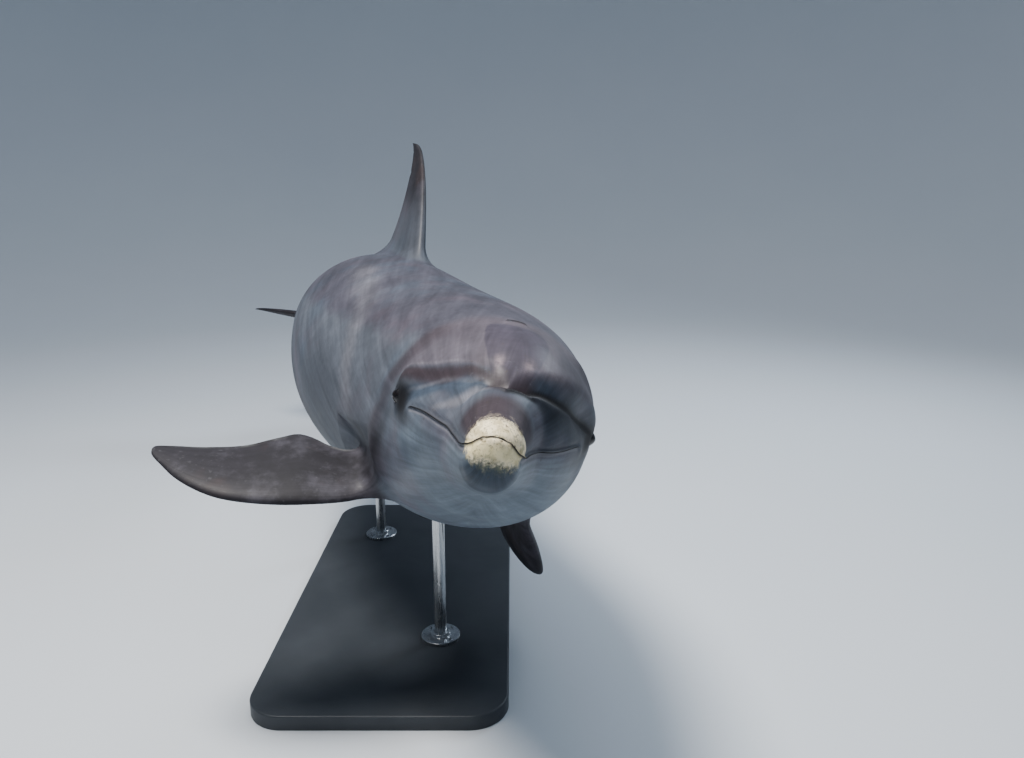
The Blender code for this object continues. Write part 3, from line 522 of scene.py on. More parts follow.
# Markings, painted highlights and painted shade, as paths of (distance behind the beak tip, degrees up from
# the side) unless they say otherwise.
skinMarksAndPaintedLight = {
    "capeEdge": ((0, 62), (0.12, 66), (0.2, 58), (0.34, 44), (0.5, 38), (0.8, 30), (1.2, 20), (1.6, 14),
                 (2.1, 8), (2.44, 4)),
    "bellyEdge": ((0, -16), (0.1, -14), (0.24, -14), (0.33, -24), (0.45, -36), (0.6, -46), (0.9, -40),
                  (1.3, -34), (1.7, -28), (2.1, -34), (2.44, -50)),
    "bridle": ((0.125, 74), (0.147, 51), (0.18, 34.5), (0.227, 18), (0.274, 9)),    # from melon to eye
    "ridge": ((0.118, 88), (0.127, 77.5), (0.141, 65.5), (0.157, 56.5), (0.176, 47), (0.208, 36),
              (0.255, 27), (0.316, 21)),
    # painted highlight along the beak's upper rim
    "beakRimHighlight": ((-10, 0.18), (8, 0.165), (21, 0.145), (58, 0.121), (90, 0.108)),   # distance by degrees
    "shield": ((0.112, 62), (0.125, 68), (0.145, 68), (0.2, 67), (0.28, 71), (0.4, 83)),
    "creamUpper": ((-90, 0.01), (-8, 0.024), (4, 0.026), (12, 0.025), (40, 0.021), (90, 0.018)),
    "creamLower": ((-90, 0.012), (-45, 0.016), (-14, 0.021), (0, 0.022), (90, 0.022)),
    "creamAside": 0.02, "creamFade": 0.012,             # further back on the left, and how soft its edge is
    # painted highlights on the melon's front, as pale pinkish streaks
    "melonHighlights": ((103, 3.15, 1), (80, 4.58, 0.6)),       # degrees up from the left, width and strength
    # dark patch round the eye, with painted shadow of the fold in front of and below it
    "eyePatchAndShade": (0.3, 2, 0.06, 0.031, 20),        # distance, degrees up, half length and height, turn
    "eyeStripe": ((0.355, 0), (0.42, -14), (0.5, -27), (0.57, -36)),
    "blaze": ((0.56, -24), (0.66, -6), (0.76, 18), (0.88, 40), (1.05, 52), (1.3, 58)),
}


def away(s, up, path, radius):    # signed distance above a path, in metres
    slope = (curve(path, s + 0.002) - curve(path, s - 0.002)) / 0.004
    return np.radians(up - curve(path, s)) * radius / np.hypot(1, np.radians(slope) * radius)


def strongest(*layers):
    return np.maximum.reduce(layers)


# Painted shade and painted highlights are worked out here along with the markings.
def markingsAndPaintedLight(notes):    # how much of each tone every point of the skin has
    m, f = skinMarksAndPaintedLight, skinForm
    s, angle, kind, fin, w, chord = notes.T
    at, radius, up = placeOn(s, angle)
    left, lefter, dorsal = np.cos(angle) > 0, leftward(angle), kind == 1
    body, top, under = 1 - ramp(0.0, 0.8, fin), up > 60, up < -60

    def above(path):
        return away(s, up, path, radius)

    def between(start, end, fade):    # along the body
        return ramp(start - fade, start + fade, s) * ramp(end + fade, end - fade, s)

    steep = 1 + 1.8 * ramp(0.19, 0.13, s)        # the melon is steep in front
    ridgeOff, bridleOff = above(m["ridge"]) * steep, above(m["bridle"])
    furrowOff = above(bodyForm["furrow"])
    furrowOff = np.where(furrowOff > 0, furrowOff * steep, furrowOff)
    mouthOff = np.radians(up - mouthPath(s, np.where(left, 1, -1))) * radius
    creaseOff, neckOff = s - curve(f["creaseLine"], up), s - curve(f["neckLine"], up)
    rimHighlightOff = s - curve(m["beakRimHighlight"], up)
    mouthEnd = 1 - ramp(f["mouthEnds"] - 0.008, f["mouthEnds"] + 0.003, s)
    sidewards = 1 - 0.6 * lefter

    # painted shade under the melon's overhanging ridge
    shadeUnderRidge = ramp(0.008, -0.009, ridgeOff) * ramp(-0.034, -0.01, ridgeOff) * between(0.112, 0.335, 0.01)
    # brown tone: the beak's own brown top, and painted shade under the melon's ridge, in the hollow behind
    # the head and in the crease between melon and beak
    brownAndShade = strongest(
        shadeUnderRidge * (0.9 - 0.8 * lefter),
        0.88 * ramp(-4, 34, up) * ramp(0.114, 0.074, s),
        0.62 * hump((neckOff + 0.008) / 0.058) * ramp(-60, -20, up) * ramp(66, 44, up),
        hump((creaseOff - 0.005) / (0.014 - 0.004 * lefter)) * ramp(58, 74, up))
    # blue tone: a bluish band below the bridle on the right, a wide painted shade below the melon's edge on
    # the left, and painted shade under the chin
    blueOff = (bridleOff + np.where(left, 0.014, 0.006)) / np.where(left, 0.032, 0.017)
    blueAndShade = strongest(
        hump(blueOff) * between(0.125, 0.33, 0.02),
        0.75 * ramp(0.078, 0.04, s) * ramp(-12, -44, up))
    # painted highlight along the beak's upper rim
    rimHighlight = hump(rimHighlightOff / 0.0105) * ramp(-6, 16, up) * (1 - 0.5 * ramp(66, 84, up))
    rimHighlight = rimHighlight * np.where(up > 56, ramp(0.002, -0.006, creaseOff), 1.0)      # it stops at the crease
    # pale tone: the bridle line, the lip's edge and the flank blaze, with painted highlights along the
    # beak's rim and the melon's ridge and painted light over the shaded overhang on the left
    paleAndHighlight = strongest(
        0.42 * hump(bridleOff / 0.0062) * between(0.13, 0.285, 0.014) * sidewards,
        0.6 * rimHighlight * sidewards,
        0.4 * hump((ridgeOff - 0.0046) / 0.0034) * between(0.15, 0.335, 0.02) * sidewards,
        0.4 * lefter * hump((furrowOff - 0.026) / 0.012) * between(0.135, 0.27, 0.02),
        0.65 * hump((mouthOff + 0.0046) / 0.003) * mouthEnd,
        0.5 * hump(above(m["blaze"]) / 0.05) * between(0.6, 1.2, 0.12) * body)

    # painted shade below the melon's edge on the left, with a faint painted shade along the furrow on both
    # sides
    shade = strongest(
        0.95 * hump((furrowOff + 0.004) / 0.009),
        0.58 * ramp(0.006, -0.004, furrowOff) * ramp(-0.062, -0.01, furrowOff))
    shade = shade * lefter + 0.08 * hump((furrowOff + 0.007) / 0.012)
    place, height, length, spread, turn = m["eyePatchAndShade"]
    turn = math.radians(turn)
    back, high = s - place, np.radians(up - height) * radius
    ahead = (back * math.cos(turn) + high * math.sin(turn)) / length
    beside = (high * math.cos(turn) - back * math.sin(turn)) / spread
    lid = np.hypot(s - eyeForm["place"], np.radians(up - eyeForm["angle"]) * radius)
    reach, turn = roundBlowhole(at[:, 0], s)
    arc = hump((reach - f["blowhole"]["radius"]) / 0.0034) * ramp(88, 58, turn)
    # dark tone: the mouth line, lid rims, eye stripe, blowhole, slit and navel, with painted shade under
    # the upper lip, in the crease over the beak and below the melon's edge
    darkAndShade = strongest(
        hump(mouthOff / 0.0013) * mouthEnd,
        # painted shadow of the upper lip along the mouth line
        0.45 * hump((mouthOff - 0.001) / 0.004) * mouthEnd,
        # painted shade in the crease between melon and beak, stronger on the left
        hump((creaseOff + 0.002) / 0.008) * ramp(46, 68, up) * (0.25 + 0.65 * lefter),
        shade * between(0.12, 0.32, 0.014),
        # dark patch round the eye, with painted shadow in front of and below it
        0.95 * (1 - ramp(0.15, 1.5, np.hypot(ahead, beside))),
        0.85 * ramp(0.024, 0.009, lid),
        0.45 * hump(above(m["eyeStripe"]) / 0.02) * between(0.36, 0.57, 0.05),
        0.95 * arc * top,
        0.6 * hump(at[:, 0] / 0.004) * between(*f["slit"], 0.01) * under,
        0.5 * hump(at[:, 0] / 0.006) * hump((s - f["navel"]) / 0.014) * under)

    upper = curve(m["creamUpper"], up) + m["creamAside"] * left * ramp(58, 10, up)
    cream = (np.where(np.sin(angle) > 0, upper, curve(m["creamLower"], up)) - s) / m["creamFade"]
    worn = strongest(
        0.4 * ramp(0.93, 1.0, w) * np.where(dorsal, 1.0, 0.35),
        0.5 * ramp(0.93, 1.0, chord) * np.where(dorsal, 1.0, 0.6)) * ramp(0.8, 1, fin)
    grown = ramp(0.0, 0.8, fin)
    shoulder = 0.75 * hump(np.hypot((s - 0.6) / 0.11, np.radians(up + 34) * radius / 0.075))
    # painted highlights on the front of the melon
    melonHighlight = sum(much * hump((np.degrees(angle) - turn) / wide) for turn, wide, much in m["melonHighlights"])
    return {
        "cape": ramp(-13, 13, up - curve(m["capeEdge"], s)) * body,
        "belly": ramp(-12, 10, curve(m["bellyEdge"], s) - up) * body,
        "warm": ramp(-0.006, 0.006, ridgeOff) * between(0.118, 0.38, 0.05),
        "shield": ramp(-2.4, 2.4, up - curve(m["shield"], s) - 4.0 * lefter) * between(0.116, 0.31, 0.045),
        "brownAndShade": brownAndShade, "blueAndShade": blueAndShade, "paleAndHighlight": paleAndHighlight, "darkAndShade": darkAndShade * body, "cream": np.clip(cream, -1, 1),
        "fin": np.maximum(np.where(dorsal, 0.25 * grown + 0.75 * ramp(0.1, 0.55, w), grown), shoulder),
        "worn": worn, "melonHighlight": melonHighlight * hump((s - 0.142) / 0.01),
        "span": w, "armpit": np.hypot(s - 0.69, np.radians(up + 40) * radius),
        "round": up / 100, "along": s, "above": (at[:, 2] + 0.01) / 0.03,
    }


def colour(red, green, blueAndShade):    # the linear colour of a screen colour given in 0 to 255
    def linear(v):
        v = v / 255
        return v / 12.92 if v <= 0.04045 else ((v + 0.055) / 1.055) ** 2.4
    return (linear(red), linear(green), linear(blueAndShade), 1.0)


class Value:    # a node's output, to add, subtract and multiply as numbers are
    def __init__(self, nodes, socket):
        self.nodes, self.socket = nodes, socket

    def __add__(self, other):
        return self.nodes.math("ADD", self, other)

    def __sub__(self, other):
        return self.nodes.math("SUBTRACT", self, other)

    def __mul__(self, other):
        return self.nodes.math("MULTIPLY", self, other)

    def __truediv__(self, other):
        return self.nodes.math("DIVIDE", self, other)


class Nodes:    # short way to write a material's nodes
    def __init__(self, name):
        self.material = bpy.data.materials.new(name)
        self.material.use_nodes = True
        self.tree = self.material.node_tree
        self.surface = self.tree.nodes["Principled BSDF"]
        self.place = self.node("TexCoord", output="Object")

    def node(self, kind, inputs=(), output=0, **settings):
        item = self.tree.nodes.new("ShaderNode" + kind)
        for key, value in settings.items():
            setattr(item, key, value)
        for key, value in dict(inputs).items():
            self.put(item.inputs[key], value)
        return Value(self, item.outputs[output])

    def put(self, socket, value):
        if isinstance(value, Value):
            self.tree.links.new(value.socket, socket)
        else:
            socket.default_value = value

    def set(self, **values):
        for key, value in values.items():
            self.put(self.surface.inputs[key.replace("_", " ")], value)

    def moved(self, scale=(1, 1, 1), turn=(0, 0, 0), place=None):
        return self.node("Mapping", {"Vector": place or self.place, "Scale": scale, "Rotation": turn})

    def noise(self, scale, detail=4, roughness=0.55, place=None, twist=0.0):
        return self.node("TexNoise", {"Vector": place or self.place, "Scale": scale, "Detail": detail,
                                      "Roughness": roughness, "Distortion": twist})

    def told(self, name):
        return self.node("Attribute", output="Fac", attribute_name=name)

    def joined(self, x, y):
        return self.node("CombineXYZ", {0: x, 1: y})

    def math(self, how, *terms):
        return self.node("Math", enumerate(terms), operation=how)

    def fit(self, value, low, high, to=(0.0, 1.0)):    # stretches low..high over to, kept within it
        return self.node("MapRange", {"Value": value, "From Min": low, "From Max": high, "To Min": to[0],
                                      "To Max": to[1]}, interpolation_type="SMOOTHSTEP")

    def mix(self, factor, a, b):
        return self.node("Mix", {0: factor, 6: a, 7: b}, output=2, data_type="RGBA")

    def times(self, tint, factor):    # a colour made lighter or darker
        return self.node("VectorMath", {0: tint, "Scale": factor}, operation="SCALE")

    def bump(self, height, distance):
        return self.node("Bump", {"Height": height, "Distance": distance, "Strength": 1.0})


# Skin tones: brown, blue and dark also serve as painted shade in creases, hollows and under overhangs, pale
# also as painted highlight along edges, and the pinkish-white one as painted highlight on the melon.
skinTones = {
    "flank": colour(88, 92, 100), "cape": colour(77, 76, 85), "belly": colour(106, 115, 124),
    "mauve": colour(102, 91, 100), "steel": colour(81, 93, 106),
    "warm": colour(92, 85, 92), "shield": colour(73, 68, 78), "brownAndShade": colour(61, 53, 58),
    "blueAndShade": colour(56, 67, 80), "paleAndHighlight": colour(122, 121, 127), "darkAndShade": colour(22, 20, 23),
    "fin": colour(43, 41, 46), "finLight": colour(70, 68, 75), "finWarm": colour(58, 49, 50),
    "worn": colour(160, 162, 160), "melonHighlight": colour(176, 160, 162), "scratch": colour(132, 133, 138),
    "cream": colour(255, 240, 208), "creamShade": colour(198, 184, 146),
    "creamGreen": colour(124, 126, 106), "creamPit": colour(78, 68, 54), "creamRim": colour(255, 240, 190),
}
skinLook = {
    "roughness": (0.47, 0.62), "matter": 0.1, "darkRoughness": 0.72,      # cream and fins are matter
    "coat": 0.07, "coatRoughness": 0.32, "ior": 1.4, "bump": 0.0012,
    "climb": 1.05,             # how far streaks climb towards the back
    "streaks": (0.84, 1.24), "fineStreaks": (0.94, 1.12),
    # strengths of scratches, flecks, the painted melon highlights and specks
    "scratches": 0.3, "flecks": 0.16, "melonHighlights": 0.62, "specks": 0.3,
    "pits": 0.7, "rim": 0.55, "rings": 0.45,
}


def skinMaterial():
    n, tone, look = Nodes("dolphinSkin"), skinTones, skinLook
    fit, mix, noise, told = n.fit, n.mix, n.noise, n.told
    large, patchy, small, grain = noise(2.4, 5), noise(13, 6, 0.62), noise(75, 5, 0.6), noise(520, 3)
    wander = (patchy - 0.5) * 0.7 + (large - 0.5) * 0.6
    along, round, above, armpit = told("along"), told("round"), told("above"), told("armpit")

    def broken(name, low, high, much=1.0):    # a marking whose edge wanders with the mottling
        return fit(told(name) + wander * much, low, high)

    def swept(lengthwise, across, detail, twist):    # streaks along the body that climb towards the back
        place = n.joined(along * lengthwise, (round - along * look["climb"]) * across)
        return noise(1.0, detail, 0.6, n.node("VectorMath", {0: place, 1: n.moved((1.5, 1.5, 1.5))}), twist)

    def layered(tint, layers):    # each layer as how much of it, and its tone
        for share, name in layers:
            tint = mix(share, tint, tone[name])
        return tint

    finTint = layered(tone["fin"], (
        (fit(noise(16, 5, 0.65) - told("span") * 0.22, 0.36, 0.62), "finLight"),
        (fit(noise(9, 4), 0.52, 0.68, (0, 0.7)), "finWarm")))
    # tone layers: brown, blue and pale paint shade and highlights as well as markings
    tint = layered(tone["flank"], (
        (broken("cape", 0.25, 0.85), "cape"),
        (broken("belly", 0.2, 0.85, 0.7), "belly"),
        (fit(noise(5.5, 4), 0.5, 0.72, (0, 0.55)), "mauve"),
        (fit(noise(4.3, 4, 0.6), 0.52, 0.72, (0, 0.5)), "steel"),
        (fit(told("warm"), 0, 1, (0, 0.8)), "warm"),
        (broken("shield", 0.35, 0.75, 0.35), "shield"),
        (fit(broken("blueAndShade", 0.15, 0.95, 0.4), 0, 1, (0, 0.8)), "blueAndShade"),
        (broken("brownAndShade", 0.1, 0.98, 0.5), "brownAndShade"),
        (broken("paleAndHighlight", 0.15, 0.95, 0.45), "paleAndHighlight")))
    tint = mix(broken("fin", 0.1, 0.95, 0.5), tint, finTint)
    # mottling, and light streaks that sweep up the flanks
    for light in (fit(large, 0.3, 0.7, (0.84, 1.16)), fit(patchy, 0.25, 0.75, (0.88, 1.12)),
                  fit(swept(3.0, 9.0, 5, 0.5), 0.3, 0.72, look["streaks"]),
                  fit(swept(7.0, 34.0, 4, 0.2) * fit(along, 0.02, 0.14), 0.35, 0.75, look["fineStreaks"]),
                  fit(small, 0.25, 0.75, (0.92, 1.08))):
        tint = n.times(tint, light)
    # scratches in parallel sets, soft flecks, painted highlights on the melon's front and small dark specks
    # about the mouth
    scraped = n.moved((330, 3.0, 90), place=n.moved(turn=(0.5, 0.3, math.radians(15))))
    scratches = fit(noise(1.0, 2, 0.5, scraped, 0.1), 0.68, 0.76) * fit(noise(5.0, 2), 0.52, 0.64)
    flecks = fit(noise(120, 3, 0.5), 0.6, 0.76) * fit(noise(8, 2), 0.42, 0.6)
    # painted highlights on the melon, broken up by noise
    melonHighlights = told("melonHighlight") * fit(noise(110, 4, 0.6), 0.3, 0.66, (0.35, 1))
    specks = fit(noise(210, 2, 0.5), 0.64, 0.72) * fit(along, 0.3, 0.16)
    tint = layered(tint, ((scratches * look["scratches"], "scratch"), (flecks * look["flecks"], "scratch"),
                          (melonHighlights * look["melonHighlights"], "melonHighlight"), (specks * look["specks"], "creamPit")))
    # cream tip of both jaws: pitted, scraped, greener below, with a broken edge and fine rings behind it
    scrape = noise(1.0, 5, 0.65, n.moved((430, 430, 75), (0, 0.45, 0)), 0.6)
    ragged = (noise(130, 5, 0.65) - 0.5) * 1.2 + (scrape - 0.5) * 1.6
    cream = fit(told("cream") + ragged, -0.3, 0.42) * fit(above + ragged * 0.3, -1.4, -0.35)
    green = noise(170, 4, 0.65) + fit(above, -0.1, -1.05) * 0.36
    pits = fit(noise(230, 3, 0.6) + noise(60, 2) * 0.3, 0.72, 0.86)
    rim = fit(above, -0.62, -0.28) * fit(above, 0.16, -0.1)
    creamTint = layered(tone["cream"], (
        (fit(noise(95, 4, 0.6), 0.4, 0.66, (0, 0.85)), "creamShade"),
        (fit(green, 0.56, 0.86), "creamGreen"),
        (fit(scrape, 0.52, 0.72, (0, 0.75)), "creamGreen"),
        (pits * look["pits"], "creamPit"),
        (rim * look["rim"], "creamRim")))
    ringed = fit(along, 0.055, 0.02) * fit(noise(110, 3), 0.48, 0.66) * fit(above, -0.1, 0.5)
    rings = fit(n.math("SINE", along * 2300.0 + noise(45, 3) * 16.0), 0.4, 1.0) * ringed
    # then fine rings, wear and the dark tone, which is partly painted shade
    tint = layered(mix(cream, tint, creamTint), (
        (rings * look["rings"], "cream"),
        (told("worn") * fit(patchy, 0.35, 0.6), "worn"),
        (fit(told("darkAndShade"), 0.02, 0.98), "darkAndShade")))
    folds = n.math("SINE", armpit * 620.0 + patchy * 6.0) * fit(armpit, 0.075, 0.02)
    height = small * 0.3 + grain * 0.05 + folds * 0.55 + rings * -0.08 - scratches * 0.08
    height = height + (ragged * 0.3 - pits) * cream * 0.3
    matter, darkAndShaded = n.math("MAXIMUM", cream, told("fin")), n.math("MAXIMUM", told("darkAndShade"), told("brownAndShade"))
    rough = fit(patchy, 0.2, 0.8, look["roughness"]) + matter * look["matter"]
    rough = n.math("MAXIMUM", rough, darkAndShaded * look["darkRoughness"])
    n.set(Base_Color=tint, Normal=n.bump(height, look["bump"]), Roughness=rough,
          Coat_Weight=look["coat"], Coat_Roughness=look["coatRoughness"], IOR=look["ior"])
    return n.material


def give(item, material):
    item.data.materials.clear()
    item.data.materials.append(material)


points, faces, notes = buildSkin()
skin = meshObject("dolphinSkin", points, faces)
for name, values in markingsAndPaintedLight(notes).items():
    skin.data.attributes.new(name, "FLOAT", "POINT").data.foreach_set("value", values.astype(np.float32))
give(skin, skinMaterial())
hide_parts("rostrum", "lower_jaw", "head", "chest", "trunk", "tail_stock", "dorsal_fin",
            "flipper_right", "flipper_left", "fluke_right", "fluke_left")
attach(skin, "root")
print("skin lofted:", len(skin.data.vertices), "points,",
      sum(len(p.vertices) - 2 for p in skin.data.polygons), "triangles")

eyeLook = {
    "look": (0.96, -0.24, -0.06),       # where each eye looks: to its side, back and up
    "bulge": 0.0011, "corneaAngle": 40.0,
    "iris": 0.62, "pupilLength": 0.36, "pupilHeight": 0.17, "pupilDroop": 0.9,
    "roughness": 0.25, "coatRoughness": 0.02, "ior": 1.38,
    "ball": colour(26, 19, 18), "irisDark": colour(13, 9, 7), "irisLight": colour(42, 27, 19),
    "rim": colour(14, 11, 11), "pupil": colour(3, 3, 4),
}


def choose(*items):    # selects these alone, with the first of them active
    bpy.ops.object.select_all(action="DESELECT")
    for item in items:
        item.select_set(True)
    if items:
        bpy.context.view_layer.objects.active = items[0]


def applied(item):    # makes an object's place, turn and size part of its mesh
    choose(item)
    bpy.ops.object.transform_apply(location=True, rotation=True, scale=True)


def finished(item, name, *nodes, slot):    # names a piece, hides the solids it stands for, and hangs it on the root body
    item.name = item.data.name = name
    if nodes:
        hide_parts(*nodes)
    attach(item, "root")
    return item


def solidBox(node):    # lowest and highest corner of a solid, and the middle of its foot
    low, high = [Vector(corner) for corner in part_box(node)]
    return low, high, Vector(((low.x + high.x) / 2, (low.y + high.y) / 2, low.z))


def makeEye(name, node, side):
    f = eyeLook
    low, high = solidBox(node)[:2]
    centre, radius = (low + high) / 2, (high.x - low.x) / 2
    here = np.array([0.0, eyeForm["place"], 0.0])
    left, back, up = [Vector(pose(here + step) - pose(here)).normalized() for step in np.eye(3) * 0.001]
    axis = (left * side * f["look"][0] + back * f["look"][1] + up * f["look"][2]).normalized()
    choose()
    bpy.ops.mesh.primitive_uv_sphere_add(segments=72, ring_count=48, radius=radius)
    item = bpy.context.object
    upward = (up - axis * up.dot(axis)).normalized()
    across = upward.cross(axis)
    place = []
    for vert in item.data.vertices:
        x, y, z = vert.co / radius
        off = math.degrees(math.acos(max(-1.0, min(1.0, z))))
        out = radius + f["bulge"] * float(1 - ramp(0.0, f["corneaAngle"], off))
        vert.co = centre + (across * x + upward * y + axis * z) * out
        place += [x, y, z]
    item.data.attributes.new("eyePlace", "FLOAT_VECTOR", "POINT").data.foreach_set("vector", place)
    item.data.shade_smooth()
    return finished(item, name, node, slot="eye")


def eyeMaterial():
    f, n = eyeLook, Nodes("dolphinEye")
    place = n.node("Attribute", output="Vector", attribute_name="eyePlace")
    x, y = [n.node("SeparateXYZ", {0: place}, output=k) for k in (0, 1)]
    out, turn = n.math("SQRT", x * x + y * y), n.math("ARCTAN2", y, x)
    fibres = n.noise(1.0, 3, 0.6, n.joined(turn * 9.0, out * 2.5))
    iris = n.mix(n.fit(fibres, 0.35, 0.7), f["irisDark"], f["irisLight"])
    iris = n.mix(n.fit(out, f["iris"] * 0.72, f["iris"]), iris, f["rim"])
    # a flat pupil that curls down at its ends
    long, high = x / f["pupilLength"], (y + x * x * f["pupilDroop"]) / f["pupilHeight"]
    iris = n.mix(n.fit(n.math("SQRT", long * long + high * high), 1.05, 0.92), iris, f["pupil"])
    ball = n.mix(n.fit(n.noise(260, 4), 0.4, 0.7), f["ball"], f["rim"])
    n.set(Base_Color=n.mix(n.fit(out, f["iris"], f["iris"] + 0.05), iris, ball), Roughness=f["roughness"],
          Coat_Weight=1.0, Coat_Roughness=f["coatRoughness"], IOR=f["ior"], Normal=n.bump(fibres, 0.0001))
    return n.material


eyeSurface = eyeMaterial()
for name, node, side in (("eyeLeft", "eye_left", 1), ("eyeRight", "eye_right", -1)):
    give(makeEye(name, node, side), eyeSurface)
print("eyes set")

standForm = {
    "turnSteps": 72,
    "cornerRadius": 0.075, "topEdge": 0.004, "footEdge": 0.0015,
    "rodEdge": 0.0006, "rodGap": 0.0002,            # the gap is between the rod and its collar
    "collarRim": 0.006, "collarEdge": 0.001, "neck": 0.0075, "neckFoot": 0.0016, "neckRound": 0.0004,
    "screws": 4, "screwCircle": 0.0325, "screwRadius": 0.0036, "screwHeight": 0.0022,
    "socketRadius": 0.5, "socketDepth": 0.6,       # against the screw's radius and height
    "padLip": 0.003, "padFoot": 0.002, "padGrooves": 3, "grooveDepth": 0.0012, "grooveStep": 0.005,
    "padHeight": 0.6, "padClearance": 0.0006,      # height against the solid's, clearance below the skin
}


def turned(profile, centre):    # spins a profile of (radius, height) points round an upright axis
    mesh = bpy.data.meshes.new("turned")
    mesh.from_pydata([(r, 0, z) for r, z in profile], [(k, k + 1) for k in range(len(profile) - 1)], [])
    item = placed("turned", mesh)
    choose(item)
    bpy.ops.object.mode_set(mode="EDIT")
    bpy.ops.mesh.select_all(action="SELECT")
    bpy.ops.mesh.spin(steps=standForm["turnSteps"], angle=2 * math.pi, center=(0, 0, 0), axis=(0, 0, 1))
    bpy.ops.mesh.select_all(action="SELECT")
    bpy.ops.mesh.remove_doubles(threshold=0.00002)
    bpy.ops.mesh.normals_make_consistent(inside=False)
    bpy.ops.object.mode_set(mode="OBJECT")
    item.location = centre
    applied(item)
    bpy.ops.object.shade_smooth_by_angle(angle=math.radians(35))
    return item


def makeBase():
    f = standForm
    low, high = solidBox("stand_base")[:2]
    choose()
    bpy.ops.mesh.primitive_cube_add(size=1, location=(low + high) / 2)
    item = bpy.context.object
    item.scale = high - low
    applied(item)
    bpy.context.tool_settings.mesh_select_mode = (False, True, False)

    def bevelEdges(chosen, offset, segments):
        for part in (*item.data.vertices, *item.data.polygons):
            part.select = False
        for edge in item.data.edges:
            edge.select = chosen([item.data.vertices[v].co.z for v in edge.vertices])
        bpy.ops.object.mode_set(mode="EDIT")
        bpy.ops.mesh.bevel(offset=offset, segments=segments, profile=0.5)
        bpy.ops.object.mode_set(mode="OBJECT")

    bevelEdges(lambda heights: max(heights) - min(heights) > 0.01, f["cornerRadius"], 24)
    bevelEdges(lambda heights: min(heights) > high.z - 1e-5, f["topEdge"], 5)
    bevelEdges(lambda heights: max(heights) < low.z + 1e-5, f["footEdge"], 2)
    choose(item)
    bpy.ops.object.shade_smooth_by_angle(angle=math.radians(30))
    return finished(item, "standBase", "stand_base", slot="stand_paint")


def makeRod(end):
    low, high, foot = solidBox("stand_rod_" + end)
    radius, length, edge = (high.x - low.x) / 2, high.z - low.z, standForm["rodEdge"]
    profile = ((0, 0), (radius - edge, 0), (radius, edge), (radius, length - edge), (radius - edge, length),
               (0, length))
    return finished(turned(profile, foot), "standRod" + end.title(), "stand_rod_" + end, slot="stand_steel")


def makeCollar(end):    # a flat rim for its screws, and a neck round the rod
    f = standForm
    rodLow, rodHigh = solidBox("stand_rod_" + end)[:2]
    low, high, foot = solidBox("stand_flange_" + end)
    radius, tall, bore = (high.x - low.x) / 2, high.z - low.z, (rodHigh.x - rodLow.x) / 2 + f["rodGap"]
    rim, neck, edge = f["collarRim"], bore + f["neck"], f["collarEdge"]
    curved, sharp = f["neckFoot"], f["neckRound"]
    profile = ((bore, 0), (radius, 0), (radius, rim - edge), (radius - edge, rim), (neck + curved, rim),
               (neck + sharp, rim + sharp), (neck, rim + curved), (neck, tall - edge), (neck - edge, tall),
               (bore + edge, tall), (bore, tall - edge), (bore, 0))
    collar = turned(profile, foot)
    finished(collar, "standCollar" + end.title(), "stand_flange_" + end, slot="stand_steel")
    screws = []
    for k in range(f["screws"]):
        turn = math.pi / 4 + 2 * math.pi * k / f["screws"]
        place = Vector((math.cos(turn), math.sin(turn), 0)) * f["screwCircle"]
        screws.append(makeScrew(foot + place + Vector((0, 0, rim + f["screwHeight"] / 2)), turn * 3.7))
    choose(*screws)
    bpy.ops.object.join()
    return collar, finished(screws[0], "standScrews" + end.title(), slot="stand_steel")


def makeScrew(place, turn):    # button head with a six-sided socket
    f = standForm
    choose()
    bpy.ops.mesh.primitive_cylinder_add(vertices=24, radius=f["screwRadius"], depth=f["screwHeight"])
    item = bpy.context.object
    for edge in item.data.edges:
        edge.select = False
    for face in item.data.polygons:
        face.select = face.normal.z > 0.9
    bpy.ops.object.mode_set(mode="EDIT")
    bpy.ops.mesh.select_mode(type="FACE")
    bpy.ops.mesh.inset(thickness=f["screwRadius"] * 0.22, depth=0.0003)
    bpy.ops.mesh.inset(thickness=f["screwRadius"] * 0.24, depth=0)
    sink = (0, 0, -f["screwHeight"] * f["socketDepth"])
    bpy.ops.mesh.extrude_region_move(TRANSFORM_OT_translate={"value": sink})
    bpy.ops.object.mode_set(mode="OBJECT")
    for vert in item.data.vertices:
        x, y = vert.co.x, vert.co.y
        out = math.hypot(x, y)
        if 0 < out < f["screwRadius"] * 0.6:
            side = math.radians(math.degrees(math.atan2(y, x)) % 60 - 30)
            reach = f["screwRadius"] * f["socketRadius"] / math.cos(side)
            vert.co.x, vert.co.y = x / out * reach, y / out * reach
    item.rotation_euler = (0, 0, turn)
    item.location = place
    applied(item)
    bpy.ops.object.shade_smooth_by_angle(angle=math.radians(35))
    return item


